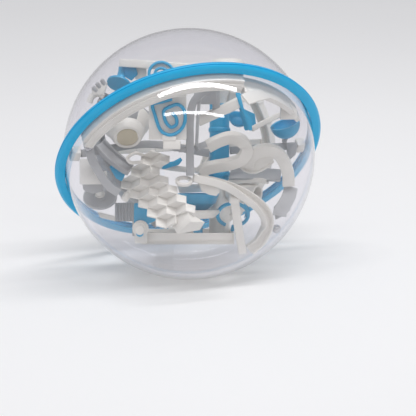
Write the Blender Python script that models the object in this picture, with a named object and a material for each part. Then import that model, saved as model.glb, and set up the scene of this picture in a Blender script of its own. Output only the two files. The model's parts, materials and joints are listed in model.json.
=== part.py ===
"""Ball-run maze: a clear plastic ball in a blue grip ring, with a maze of tracks
inside it that a small steel ball is rolled through by tilting and turning the whole toy.

The toy lies on a table. The origin is the centre of the clear ball, +Z is up,
+X runs to the right and -Y points at a person sitting in front of it.
Lengths in the tables and calls below are millimetres; MM turns them into metres.
"""
import math

import bmesh
import bpy
from mathutils import Vector

MM = 0.001
GAP = 0.3
TOWARDS_FRONT = (0.0, -1.0, 0.0)
UPWARDS = (0.0, 0.0, 1.0)

# Fineness: sides of round pieces, and steps between the points of a bent track
DISC_SIDES = 28
ROUND_SIDES = 20
PIN_SIDES = 16
WIRE_SIDES = 8
THIN_SIDES = 6
COARSE_STEPS = 2
CURVE_STEPS = 3
FINE_STEPS = 4

# Clear ball and grip ring, in the ring's own frame: Z is the ring's axis
SHELL_RADIUS = 100.0
SHELL_WALL = 2.0
INNER_RADIUS = SHELL_RADIUS - SHELL_WALL
FLANGE_RADIUS = 103.0
FLANGE_DEPTH = 2.2
FRONT_RING = [(106.2, 1.5), (107.4, 0.5), (108.0, -0.9), (107.8, -2.2), (107.0, -3.5), (105.6, -4.5),
              (100.3, -4.5), (100.3, -2.6), (103.3, -2.6), (103.3, 1.5)]
REAR_RING = [(105.6, 1.8), (105.2, 2.8), (103.8, 3.6), (100.3, 3.6), (100.3, 2.6), (103.3, 2.6), (103.3, 1.8)]
RING_TILT = -56.0
RING_YAW = 15.0
SHELL_SEGMENTS = 40
SHELL_BANDS = 8
RING_SEGMENTS = 48

# Feet between the maze and the ball wall, on the ring's plane
FOOT_RADII = (90.0, 97.1)
FOOT_WIDTH = 10.0
FOOT_HEIGHT = 8.0
FOOT_ANGLES = {"right": 0.0, "rear": 90.0, "left": 188.0, "front": 270.0}

# Track under the ring, and the deeper shroud after it, also in the ring's frame
RIM_RADIUS = 90.6
RIM_FLOOR = -12.6
RIM_ANGLES = (201.0, 286.0)
RIM_STEPS = 20
RIM_SECTION = (9.6, 8.2, 1.8)
SHROUD_RADIUS = 88.4
SHROUD_FLOOR = -15.0
SHROUD_ANGLES = (327.0, 286.4)
SHROUD_STEPS = 10
SHROUD_SECTION = [(-5, 0), (-1, 0), (-1, 2), (-3, 2), (-3, 15.4), (-5, 15.4)]

# The maze leans back in the ball: its X is to the right, Y into it, Z up
MAZE_LEAN = -18.0

# Central tower, its cap, the beams out to the feet and the tray it stands in
TOWER_X = 24.5
TOWER_Y = 15.0
TOWER_RADIUS = 8.0
TOWER_WALL = 2.0
TOWER_FOOT = -66.5
TOWER_TOP = 60.0
CAP_X = 31.0
CAP_RADIUS = 14.0
CAP_TOP = 77.0
CAP_SKIRT = 5.0
CAP_ROUND = 3.0
BEAM_SECTION = (7.0, 5.0)
RIGHT_BEAM = [(33.2, 15, 3), (60, 19, 5.4), (86.2, 21.9, 7.1)]
LEFT_BEAM = [(15.4, 9.5, 1), (-32, -11, 8.1), (-83.4, -31.15, 0.6)]
LEFT_BEAM_UP = (0.44, -0.9, 0.0)
FRONT_BEAM = [(24, 6, 54), (19, -30, 54), (12.8, -66.8, 54.6)]
TRAY_SIZE = (73.5, 54.0, 9.0)
TRAY_AT = (-1.2, 15.0, -66.5)
TRAY_WALL = 2.0
TRAY_DEPTH = 6.0
LUG = [(-13, 44.6, -64), (-12.6, 51, -54), (-12.6, 60, -50.4), (-12.95, 68.5, -55.1)]
LUG_UP = (0.0, 0.8, 0.6)
LUG_SECTION = (9.0, 3.6)

# Stair of corner pockets: the deepest corner of one pocket and its three edges
CRATE_PIT = Vector((-30.0, -33.0, -19.5))
CRATE_EDGES = (Vector((-0.3, -5.5, -4.8)), Vector((-7.4, -0.5, 2.15)), Vector((9.85, -9.0, 5.1)))
CRATE_POCKETS = [(-1, -1)] + [(i, 0) for i in range(-1, 5)] + [(i, 1) for i in range(-1, 5)]
CRATE_WALL = 1.5
CRATE_LOOP = [(-35.8, -33, -0.3), (-41, -43, 1), (-46.3, -52, -2.6), (-44, -52, -6.2), (-36.4, -40.6, -5.8)]
CRATE_LOOP_WIRE = 1.3

# Panel with the clip-shaped rail, and the box under it
PANEL_FROM = Vector((-30.0, -64.0, 28.0))
PANEL_TO = Vector((-2.0, -64.0, 28.0))
PANEL_SECTION = [(-1.2, -17), (1.2, -17), (1.2, 14.6), (7, 14.6), (7, 17), (-1.2, 17)]
CLIP_Y = -67.0
CLIP_WIRE = 1.3
CLIP = [(-12.6, 40.9), (-19.6, 39.0), (-27.0, 36.8), (-25.2, 28.7), (-22.2, 19.6), (-18.7, 15.8),
        (-13.5, 14.4), (-7.4, 17.2), (-3.6, 22.8), (-3.0, 28.7), (-4.4, 34.0), (-8.4, 37.0), (-13.2, 35.8),
        (-18.4, 33.0), (-18.6, 28.4), (-17.0, 23.6), (-13.4, 20.2), (-9.5, 22.3), (-9.6, 27.0), (-12.8, 31.0)]
CORNER_BOX_SIZE = (13.0, 27.0, 7.0)
CORNER_BOX_AT = (-13.0, -53.5, 7.2)

# Funnel cup with its window, and the grey rails on the left
FUNNEL_AT = (-46.8, -47.0, 12.6)
FUNNEL_MOUTH = (-0.1, 0.75, 0.65)
FUNNEL_PROFILE = [(8.3, 0), (10.5, 0), (13.4, 6), (19, 18), (17, 18), (11.4, 7), (8.3, 2.2)]
WINDOW_PROFILE = [(0, 2), (8, 2), (8, 0.3), (0, 0.3)]
CURVED_RAIL = [(-77, -46.4, 8.6), (-73, -46.6, -5), (-67.4, -46.6, -15), (-61.3, -46.6, -23.7),
               (-53.2, -46.6, -29.4)]
CURVED_RAIL_SECTION = (6.5, 3.2)
RAIL_PIN_AT = (-76, -49.8, 5.6)
RAIL_PIN_PROFILE = [(0, 0.4), (3, 0.4), (3, -1.4), (0, -1.4)]
GREY_CHUTE = [(-69.4, -40, 7), (-59.5, -41.5, -3), (-49.5, -43, -10.5), (-44.8, -43.7, -12.8)]
GREY_CHUTE_UP = (0.35, -0.75, 0.55)
GREY_CHUTE_SECTION = (11.0, 5.0, 1.8)
LEFT_BLOCK = [(-84, -3.4), (-73, -3.4), (-73, -13), (-65, -13), (-65, -23), (-84, -23)]
LEFT_BLOCK_DEPTH = 30.0
LEFT_BLOCK_FRONT = -36.0

# Pieces that move, and what they move on
SPINNER_PIVOT = (-71.0, -2.0, -34.0)
SPINNER_AXIS = (0.0, -0.67, 0.742)
SPINNER_PROFILE = [(13.5, 1.2), (13.5, -1.2), (4, -1.2), (2.9, -2), (2.9, 2), (4, 1.2)]
SPINNER_PIN_PROFILE = [(0, 11.6), (2.9, 11.6), (2.9, 3.8), (4, 3.8), (4, 2.4), (2.5, 2.4), (2.5, -2.4),
                       (4, -2.4), (4, -4.2), (0, -4.2)]
FLIPPER_PIVOT = (-38.0, -19.2, -57.6)
FLIPPER_OUTLINE = [(-5.2, 2), (-5.2, 19.5), (8, 20), (12, 6), (5, 2.5), (5, -2), (2.5, -5), (-2.5, -5),
                   (-5.2, -2)]
FLIPPER_THICKNESS = 3.6
BORE_PROFILE = [(0, 3), (2.9, 3), (2.9, -3), (0, -3)]
BOSS_PROFILE = [(0, 8), (4.6, 8), (4.6, 6), (6.3, 6), (6.3, 2.1), (2.6, 2.1), (2.6, -2.6), (0, -2.6)]
UPRIGHT_SIZE = (10.0, 4.0, 17.0)
UPRIGHT_AT = (-38.0, -14.4, -61.5)
BALL_RADIUS = 3.5
BALL_SEGMENTS = 14
BALL_RINGS = 9
BALL_SHARP = 80.0
BALL_PLACE = (70.7, 8.9, -60.3)

# Ribbed wall beside the tray
RIB_COUNT = 7
RIB_FROM_X = -60.0
RIB_TO_X = -42.0
RIB_CREST_Y = 8.0
RIB_ROOT_Y = 9.6
RIB_BACK = [(-38.4, 9.0), (-38.4, 12.0), (-60.0, 12.0)]
RIB_FOOT_Z = -66.0
RIB_HEIGHT = 27.0
RIB_NOTCH_SIZE = (17.0, 10.0, 16.0)
RIB_NOTCH_AT = (-54.5, 10.0, -62.0)

# Strut, looped tracks, hook track, strap, bowl, hoop and pipe on the right
FRONT_STRUT = [(14.5, -51, 48.4), (8, -51.5, 45), (2.4, -51, 37), (0.6, -50.5, 24), (0.6, -50, 4),
               (0.6, -49, -16)]
FRONT_STRUT_SECTION = (6.0, 4.0)
STRUT_ARM = [(5.4, -48.2, 4.8), (9, -43.4, 6.4), (12.0, -37.7, 7.6)]
STRUT_ARM_SECTION = (5.0, 3.4)
LOOP_SECTION = (9.6, 5.4, 1.8)
UPPER_LOOP_UP = (0.0, -0.76, -0.65)
LOWER_LOOP_UP = (0.0, -0.85, -0.5)
UPPER_LOOP = [(13.5, -30, 7.4), (22, -31, 11.8), (31.5, -32, 14.6), (40, -32, 12.4), (44, -31, 5.4),
              (40.4, -30, -1.6), (32, -29, -5.4), (21, -28, -7.4), (13, -27.6, -9.4), (8, -27, -13.6)]
LOWER_LOOP = [(45.5, -15.6, -8.2), (47, -19.5, -1.6), (53.5, -22.5, 3.6), (61.5, -22.6, 4.8),
              (69, -19, 2.4), (74.6, -12.6, -4.4), (78.2, -7.6, -13.6), (79, -3, -23.4)]
DISH_OUTLINE = [(44, 2.3), (41.2, -3.5), (40.6, -9.5), (42.5, -12.8), (47.4, -15.2), (53, -15.1),
                (59.5, -11.6), (66, -5.2), (66, 1.2), (60, 3.5), (52, 3.5)]
DISH_THICKNESS = 1.8
DISH_AT = (0.0, -21.95, -0.91)
DISH_LEAN = (0.0, -0.507, 0.862)
HOOK = [(2.5, -44, -21), (20.8, -42, -24.4), (39, -33, -32), (54.4, -20, -42.1), (61.6, -4, -54.6),
        (57, 3, -68.3), (47.7, 2, -76.3)]
HOOK_HEART = (33.0, -58.0)
HOOK_TWIST_FROM = -21.0
HOOK_TWIST_OVER = 12.0
HOOK_SECTION = (9.0, 4.6, 1.6)
HOOK_EYE_AT = (-4.0, -48.0, -20.4)
HOOK_EYE_TILT = (0.0, -0.5, 0.86)
HOOK_EYE_PROFILE = [(4.2, 1.3), (6.6, 1.3), (6.6, -1.3), (4.2, -1.3)]
HOOK_POST = [(35, -32.6, -34.4), (38.4, -20, -57), (42.4, -5, -78)]
HOOK_POST_UP = (0.2, -0.8, -0.6)
HOOK_POST_SECTION = (6.4, 4.6)
STRAP = [(81.2, -2.4, -26), (78.6, -6, -37), (75.2, -10.6, -45.8), (70.6, -13, -51.2)]
STRAP_SECTION = (11.0, 2.2)
BOWL_AT = (7.0, -3.5, 0.0)
BOWL_PROFILE = [(0, -42), (6, -41), (11.5, -37.5), (15, -31), (17, -31), (13.6, -39), (8, -43.4),
                (3.8, -45.6), (3.8, -63), (6, -65), (6, -67.4), (0, -67.4)]
HOOP_CENTRE = (34.7, -7.0, -48.0)
HOOP_RADIUS = 12.1
HOOP_LEAN = 39.0
HOOP_START = -88.0
HOOP_SWEEP = 330.0
HOOP_STEPS = 18
HOOP_STEM = [(34.6, 0.6, -61.7), (34.6, 0.6, -59.4)]
HOOP_UP = (0.1, -0.78, -0.63)
HOOP_WIRE = 1.5
PIPE_AT = (33.0, 10.8, -29.4)
PIPE_AXIS = (0.83, -0.55, -0.1)
PIPE_PROFILE = [(8, 26), (8, 0), (6, 0), (6, 26)]

# Rails, blade and cup at the upper right
UPPER_RAIL = [(7, -20, 25.4), (28, -18, 34.4), (49, -12, 44.6)]
UPPER_RAIL_SECTION = (9.0, 5.0, 1.6)
LOWER_RAIL = [(50, -12, 18), (60, -10.6, 23.4), (72.5, -9.2, 29.4)]
LOWER_RAIL_SECTION = (7.4, 4.0, 1.5)
HANGER_SIZE = (6.0, 4.0, 19.6)
HANGER_AT = (21.0, -26.0, 41.2)
BLADE_OUTLINE = [(36.6, 48), (48, 48), (48, 44), (41.4, 43), (43.4, 36), (52, 32), (53, 24), (48.4, 22),
                 (46.8, 19), (44, 19)]
BLADE_THICKNESS = 2.6
BLADE_FRONT = -7.1
CUP_AT = (76.0, -5.0, 24.2)
CUP_TILT = (-0.3, -0.1, 0.95)
CUP_RADIUS = 12.0
CUP_WALL = 2.0
CUP_BANDS = 6
CUP_STRUT = [(77, 3.5, 13), (77.2, 10, 12), (77.5, 17.4, 11)]
CUP_STRUT_RADIUS = 2.2

# Start plate with the spool and coil, and the tracks behind the tower
PLATE_FROM = Vector((-55.4, 8.0, 74.5))
PLATE_TO = Vector((16.3, 8.0, 69.5))
PLATE_SECTION = [(-10, -1.5), (8, -1.5), (8, -4.8), (10, -4.8), (10, 1.5), (-10, 1.5)]
SPOOL_AT = (-55.9, 0.0, 56.2)
SPOOL_TILT = (0.2, 0.54, 0.81)
SPOOL_PROFILE = [(0, 17.1), (4, 17.1), (4, 15.6), (3.4, 11), (3.4, 5), (5.6, 2.6), (9.8, 1), (9.8, -1),
                 (0, -1)]
COIL_CENTRE = (-23.0, -3.6, 63.0)
COIL_RADII = (4.0, 11.0)
COIL_STEP = 24.0
COIL_COUNT = 22
COIL_WIRE = 1.2
STUD_OUTLINE = [(-75.6, 47), (-67.4, 47), (-64.6, 57), (-68, 57.4), (-68, 59.6), (-70, 59.6), (-70, 57),
                (-71.6, 55.6), (-73.2, 57), (-74.6, 55.6), (-73.4, 54), (-74.6, 52), (-76.4, 53),
                (-77.4, 51.4)]
STUD_DEPTH = 7.0
STUD_FRONT = -7.4
REAR_CHUTE = [(-70.5, -1.1, 46.4), (-77, 20, 25), (-73, 41, -4), (-54, 56, -34), (-25.2, 46.6, -59.4)]
REAR_CHUTE_SECTION = (12.0, 6.0, 2.0)
SPIRAL_RADIUS = 13.0
SPIRAL_START = 10.0
SPIRAL_SWEEP = 160.0
SPIRAL_TOP = 50.0
SPIRAL_DROP = 75.0
SPIRAL_STEPS = 16
SPIRAL_SECTION = (9.0, 5.0, 1.6)
REAR_ARCH = [(40, 33, 64), (58, 44, 44), (69, 50, 8), (55, 56, -34), (25, 47, -59.5)]
REAR_BRIDGE = [(-63, 45.6, 0), (-30, 69, 2), (8, 77, 4), (42, 68, 6), (62.6, 53.6, 7)]
REAR_SECTION = (11.0, 6.0, 2.0)

# Finish of each kind of plastic and metal: colour, roughness, metallic, alpha
FINISHES = {
    "clear_shell": ((0.80, 0.80, 0.84), 0.04, 0.0, 0.18),
    "ring_blue": ((0.015, 0.30, 0.60), 0.32, 0.0, 1.0),
    "maze_blue": ((0.03, 0.31, 0.60), 0.38, 0.0, 1.0),
    "maze_white": ((0.80, 0.78, 0.74), 0.42, 0.0, 1.0),
    "maze_grey": ((0.42, 0.43, 0.45), 0.45, 0.0, 1.0),
    "cream_window": ((0.55, 0.49, 0.36), 0.35, 0.0, 1.0),
    "polished_steel": ((0.72, 0.72, 0.74), 0.12, 1.0, 1.0),
}


def clear_scene():
    for item in list(bpy.data.objects):
        bpy.data.objects.remove(item, do_unlink=True)


def make_finish(name):
    colour, roughness, metallic, alpha = FINISHES[name]
    material = bpy.data.materials.new(name)
    material.use_nodes = True
    shader = material.node_tree.nodes["Principled BSDF"]
    shader.inputs["Base Color"].default_value = (*colour, 1.0)
    shader.inputs["Roughness"].default_value = roughness
    shader.inputs["Metallic"].default_value = metallic
    shader.inputs["Alpha"].default_value = alpha
    return material


def finish(name):
    return bpy.data.materials.get(name) or make_finish(name)


def make_frame(name, tilt, yaw):
    """Empty that turns everything parented to it."""
    frame = bpy.data.objects.new(name, None)
    frame.rotation_euler = (math.radians(tilt), 0.0, math.radians(yaw))
    bpy.context.scene.collection.objects.link(frame)
    return frame


def place(name, bm, finish_name, frame, at=(0, 0, 0), axis=None, sharp=35.0):
    """Turn a bmesh in millimetres into a named, shaded object under a frame."""
    bmesh.ops.remove_doubles(bm, verts=bm.verts, dist=1e-4)
    bmesh.ops.recalc_face_normals(bm, faces=bm.faces)
    bmesh.ops.scale(bm, vec=(MM, MM, MM), verts=bm.verts)
    mesh = bpy.data.meshes.new(name)
    bm.to_mesh(mesh)
    bm.free()
    mesh.shade_smooth()
    mesh.set_sharp_from_angle(angle=math.radians(sharp))
    mesh.materials.append(finish(finish_name))
    item = bpy.data.objects.new(name, mesh)
    item.parent = frame
    item.location = Vector(at) * MM
    if axis is not None:
        turn = Vector(UPWARDS).rotation_difference(Vector(axis))
        item.rotation_euler = turn.to_euler()
    bpy.context.scene.collection.objects.link(item)
    return item


def combine(item, guide, operation):
    """Cut a shape out of an object, or join it on, and keep that shape as a hidden guide."""
    modifier = item.modifiers.new("combine", "BOOLEAN")
    modifier.operation = operation
    modifier.object = guide
    guide.hide_render = True
    guide.display_type = "WIRE"


def channel(width, height, wall):
    """U section of a track: side and height coordinates, floor at height 0."""
    half = width / 2
    return [(-half, 0), (half, 0), (half, height), (half - wall, height),
            (half - wall, wall), (wall - half, wall), (wall - half, height), (-half, height)]


def slab(width, thickness):
    half = width / 2
    rise = thickness / 2
    return [(-half, -rise), (half, -rise), (half, rise), (-half, rise)]


def round_wire(radius, sides):
    turns = [2 * math.pi * step / sides for step in range(sides)]
    return [(radius * math.cos(turn), radius * math.sin(turn)) for turn in turns]


def spread(start, end, count):
    """Angles in radians, evenly spread between two angles in degrees."""
    return [math.radians(start + (end - start) * step / count) for step in range(count + 1)]


def smooth_path(points, steps):
    """Points along a smooth curve that passes through the given ones."""
    knots = [Vector(point) for point in points]
    knots = [2 * knots[0] - knots[1]] + knots + [2 * knots[-1] - knots[-2]]
    path = []
    for a, b, c, d in zip(knots, knots[1:], knots[2:], knots[3:]):
        for step in range(steps):
            t = step / steps
            path.append(0.5 * (2 * b + (c - a) * t + (2 * a - 5 * b + 4 * c - d) * t ** 2
                               + (3 * b - a - 3 * c + d) * t ** 3))
    path.append(knots[-2])
    return path


def arc_path(radius, height, start, end, count):
    """Points on a circle about Z, from one angle in degrees to another."""
    return [Vector((radius * math.cos(turn), radius * math.sin(turn), height))
            for turn in spread(start, end, count)]


def arc_profile(radius, start, end, count):
    """(radius, height) points on a circle in the turning plane, angles from the equator."""
    return [(radius * math.cos(turn), radius * math.sin(turn)) for turn in spread(start, end, count)]


def extrude(bm, face, vector):
    """Extrude one face of a flat outline into a solid."""
    made = bmesh.ops.extrude_face_region(bm, geom=[face])["geom"]
    moved = [part for part in made if isinstance(part, bmesh.types.BMVert)]
    bmesh.ops.translate(bm, vec=vector, verts=moved)


def sweep(name, finish_name, frame, path, up, section):
    """Extrude a section along a path. The section's height points along up."""
    bm = bmesh.new()
    face = None
    for index, point in enumerate(path):
        before = path[max(index - 1, 0)]
        after = path[min(index + 1, len(path) - 1)]
        along = (after - before).normalized()
        rise = up(point) if callable(up) else Vector(up)
        side = along.cross(rise).normalized()
        rise = side.cross(along)
        corners = [point + side * a + rise * b for a, b in section]
        if face is None:
            face = bm.faces.new([bm.verts.new(corner) for corner in corners])
            ring = list(face.verts)
            continue
        made = bmesh.ops.extrude_face_region(bm, geom=[face])["geom"]
        new_face = [part for part in made if isinstance(part, bmesh.types.BMFace)][0]
        partners = {}
        for old in ring:
            for edge in old.link_edges:
                other = edge.other_vert(old)
                if other in new_face.verts:
                    partners[old] = other
        ring = [partners[old] for old in ring]
        for vertex, corner in zip(ring, corners):
            vertex.co = corner
        if index > 1:
            bm.faces.remove(face)
        face = new_face
    return place(name, bm, finish_name, frame)


def track(name, finish_name, frame, points, up, section, steps):
    return sweep(name, finish_name, frame, smooth_path(points, steps), up, section)


def lathe(name, finish_name, frame, profile, segments, at=(0, 0, 0), axis=None):
    """Turn a closed outline of (radius, height) points about Z."""
    bm = bmesh.new()
    outline = [bm.verts.new((radius, 0, height)) for radius, height in profile]
    edges = [bm.edges.new(pair) for pair in zip(outline, outline[1:])]
    if profile[0][0] > 0:
        edges.append(bm.edges.new((outline[-1], outline[0])))
    bmesh.ops.spin(bm, geom=outline + edges, cent=(0, 0, 0), axis=UPWARDS,
                   angle=2 * math.pi, steps=segments, use_merge=True)
    return place(name, bm, finish_name, frame, at, axis)


def prism(name, finish_name, frame, outline, depth, at, axis=None):
    """Extrude an outline in X and Z along +Y by depth."""
    bm = bmesh.new()
    face = bm.faces.new([bm.verts.new((x, 0, z)) for x, z in outline])
    extrude(bm, face, (0, depth, 0))
    return place(name, bm, finish_name, frame, at, axis)


def block(name, finish_name, frame, size, centre, bevel=0.8):
    bm = bmesh.new()
    bmesh.ops.create_cube(bm, size=1.0)
    bmesh.ops.scale(bm, vec=size, verts=bm.verts)
    bmesh.ops.bevel(bm, geom=bm.edges, offset=bevel, segments=1, profile=0.5,
                    affect="EDGES", material=-1)
    return place(name, bm, finish_name, frame, centre)


def build_shell(ring_frame):
    """Two clear domes with flanges, clamped by the two halves of the grip ring."""
    for name, side in (("rear_dome", 1), ("front_dome", -1)):
        lip = math.degrees(math.asin(FLANGE_DEPTH / SHELL_RADIUS))
        outer = arc_profile(SHELL_RADIUS, 90, lip, SHELL_BANDS)
        inner = arc_profile(INNER_RADIUS, 0, 90, SHELL_BANDS)
        outer[0] = (0.0, SHELL_RADIUS)
        inner[0] = (INNER_RADIUS, GAP / 2)
        inner[-1] = (0.0, INNER_RADIUS)
        flange = [(FLANGE_RADIUS, FLANGE_DEPTH), (FLANGE_RADIUS, GAP / 2)]
        profile = [(radius, side * height) for radius, height in outer + flange + inner]
        lathe(name, "clear_shell", ring_frame, profile, SHELL_SEGMENTS)
    lathe("front_ring", "ring_blue", ring_frame, FRONT_RING, RING_SEGMENTS)
    lathe("rear_ring", "ring_blue", ring_frame, REAR_RING, RING_SEGMENTS)


def build_feet(ring_frame):
    """Blocks wedged against the ball wall that hold the maze on the ring's plane."""
    inner, outer = FOOT_RADII
    for name, angle in FOOT_ANGLES.items():
        foot = block(name + "_foot", "maze_white", ring_frame,
                     (outer - inner, FOOT_WIDTH, FOOT_HEIGHT), (0, 0, 0))
        turn = math.radians(angle)
        middle = (inner + outer) / 2 * MM
        foot.location = (middle * math.cos(turn), middle * math.sin(turn), 0)
        foot.rotation_euler = (0, 0, turn)


def build_rim_track(ring_frame):
    """Track that follows the ring on the front side, and the deeper shroud that ends it."""
    sweep("rim_track", "maze_white", ring_frame,
          arc_path(RIM_RADIUS, RIM_FLOOR, *RIM_ANGLES, RIM_STEPS), UPWARDS, channel(*RIM_SECTION))
    sweep("rim_shroud", "maze_white", ring_frame,
          arc_path(SHROUD_RADIUS, SHROUD_FLOOR, *SHROUD_ANGLES, SHROUD_STEPS), UPWARDS, SHROUD_SECTION)


def build_core(maze):
    """Tower, cap, the beams out to the feet, and the tray at the bottom."""
    bore = TOWER_RADIUS - TOWER_WALL
    lathe("core_tower", "maze_blue", maze,
          [(TOWER_RADIUS, TOWER_TOP), (TOWER_RADIUS, TOWER_FOOT), (bore, TOWER_FOOT), (bore, TOWER_TOP)],
          ROUND_SIDES, (TOWER_X, TOWER_Y, 0))
    under = TOWER_TOP + GAP
    lathe("tower_cap", "maze_white", maze,
          [(0, CAP_TOP), (CAP_RADIUS - CAP_ROUND, CAP_TOP), (CAP_RADIUS, CAP_TOP - CAP_ROUND),
           (CAP_RADIUS, TOWER_TOP + CAP_SKIRT), (TOWER_RADIUS, under), (0, under)],
          ROUND_SIDES, (CAP_X, TOWER_Y, 0))
    beam = slab(*BEAM_SECTION)
    track("right_beam", "maze_grey", maze, RIGHT_BEAM, (0, 1, 0), beam, COARSE_STEPS)
    track("left_beam", "maze_grey", maze, LEFT_BEAM, LEFT_BEAM_UP, beam, COARSE_STEPS)
    track("front_beam", "maze_white", maze, FRONT_BEAM, UPWARDS, beam, COARSE_STEPS)
    build_tray(maze)
    track("tray_lug", "maze_white", maze, LUG, LUG_UP, slab(*LUG_SECTION), CURVE_STEPS)


def build_tray(maze):
    """Open box: the top face of a cube is inset and pushed down."""
    bm = bmesh.new()
    bmesh.ops.create_cube(bm, size=1.0)
    bmesh.ops.scale(bm, vec=TRAY_SIZE, verts=bm.verts)
    top = max(bm.faces, key=lambda face: face.calc_center_median().z)
    bmesh.ops.inset_region(bm, faces=[top], thickness=TRAY_WALL)
    extrude(bm, top, (0, 0, -TRAY_DEPTH))
    bm.faces.remove(top)
    place("base_tray", bm, "maze_white", maze, TRAY_AT)


def build_step_crate(maze):
    """Thin-walled stair of corner pockets: a sheet of squares given a wall."""
    down, left, right = CRATE_EDGES
    bm = bmesh.new()
    for i, j in CRATE_POCKETS:
        pit = CRATE_PIT + (down - left) * i + (down - right) * j
        for a, b in ((down, left), (left, right), (right, down)):
            square = (pit, pit + a, pit + a + b, pit + b)
            bm.faces.new([bm.verts.new(point) for point in square])
    bmesh.ops.remove_doubles(bm, verts=bm.verts, dist=0.01)
    bmesh.ops.recalc_face_normals(bm, faces=bm.faces)
    bmesh.ops.solidify(bm, geom=bm.faces, thickness=CRATE_WALL)
    place("step_crate", bm, "maze_white", maze)
    track("crate_loop", "maze_white", maze, CRATE_LOOP, TOWARDS_FRONT,
          round_wire(CRATE_LOOP_WIRE, WIRE_SIDES), FINE_STEPS)


def build_front_left(maze):
    """Clip rail on its panel, corner box, funnel cup, grey rails and the spinner's block."""
    sweep("clip_panel", "maze_white", maze, [PANEL_FROM, PANEL_TO], UPWARDS, PANEL_SECTION)
    track("clip_rail", "maze_blue", maze, [(x, CLIP_Y, z) for x, z in CLIP], TOWARDS_FRONT,
          round_wire(CLIP_WIRE, THIN_SIDES), COARSE_STEPS)
    block("corner_box", "maze_white", maze, CORNER_BOX_SIZE, CORNER_BOX_AT)
    lathe("funnel_cup", "maze_white", maze, FUNNEL_PROFILE, ROUND_SIDES, FUNNEL_AT, FUNNEL_MOUTH)
    lathe("funnel_window", "cream_window", maze, WINDOW_PROFILE, ROUND_SIDES, FUNNEL_AT, FUNNEL_MOUTH)
    track("curved_rail", "maze_grey", maze, CURVED_RAIL, TOWARDS_FRONT, slab(*CURVED_RAIL_SECTION),
          FINE_STEPS)
    lathe("rail_pin", "polished_steel", maze, RAIL_PIN_PROFILE, PIN_SIDES, RAIL_PIN_AT, TOWARDS_FRONT)
    track("grey_chute", "maze_grey", maze, GREY_CHUTE, GREY_CHUTE_UP, channel(*GREY_CHUTE_SECTION),
          FINE_STEPS)
    prism("left_block", "maze_white", maze, LEFT_BLOCK, LEFT_BLOCK_DEPTH, (0, LEFT_BLOCK_FRONT, 0))


def build_spinner(maze):
    """Grey disc that turns freely on a headed pin under the left block."""
    lathe("spinner_disc", "maze_grey", maze, SPINNER_PROFILE, DISC_SIDES, SPINNER_PIVOT, SPINNER_AXIS)
    lathe("spinner_pin", "maze_white", maze, SPINNER_PIN_PROFILE, PIN_SIDES, SPINNER_PIVOT, SPINNER_AXIS)


def build_flipper(maze):
    """Blue paddle that tips about a collared boss in front of the tray, and the ribbed wall."""
    x, y, z = FLIPPER_PIVOT
    paddle = prism("flipper", "maze_blue", maze, FLIPPER_OUTLINE, FLIPPER_THICKNESS,
                   (x, y - FLIPPER_THICKNESS / 2, z))
    bore = lathe("flipper_bore", "maze_blue", maze, BORE_PROFILE, PIN_SIDES, FLIPPER_PIVOT, TOWARDS_FRONT)
    combine(paddle, bore, "DIFFERENCE")
    lathe("flipper_boss", "maze_white", maze, BOSS_PROFILE, PIN_SIDES, FLIPPER_PIVOT, TOWARDS_FRONT)
    block("boss_upright", "maze_white", maze, UPRIGHT_SIZE, UPRIGHT_AT)
    pitch = (RIB_TO_X - RIB_FROM_X) / (2 * RIB_COUNT)
    ridge = [(RIB_FROM_X + pitch * step, RIB_CREST_Y if step % 2 else RIB_ROOT_Y)
             for step in range(2 * RIB_COUNT + 1)]
    bm = bmesh.new()
    foot = bm.faces.new([bm.verts.new((rib_x, rib_y, RIB_FOOT_Z)) for rib_x, rib_y in ridge + RIB_BACK])
    extrude(bm, foot, (0, 0, RIB_HEIGHT))
    wall = place("ribbed_wall", bm, "maze_grey", maze)
    notch = block("ribbed_wall_notch", "maze_grey", maze, RIB_NOTCH_SIZE, RIB_NOTCH_AT)
    combine(wall, notch, "DIFFERENCE")


def out_of_hook(point):
    """The hook's walls point away from the middle of its bend, and turn to the front on the way down."""
    away = Vector((point.x - HOOK_HEART[0], 0, point.z - HOOK_HEART[1])).normalized()
    twist = max(0.0, (HOOK_TWIST_FROM - point.z) / HOOK_TWIST_OVER)
    return away + twist * Vector(TOWARDS_FRONT)


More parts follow.
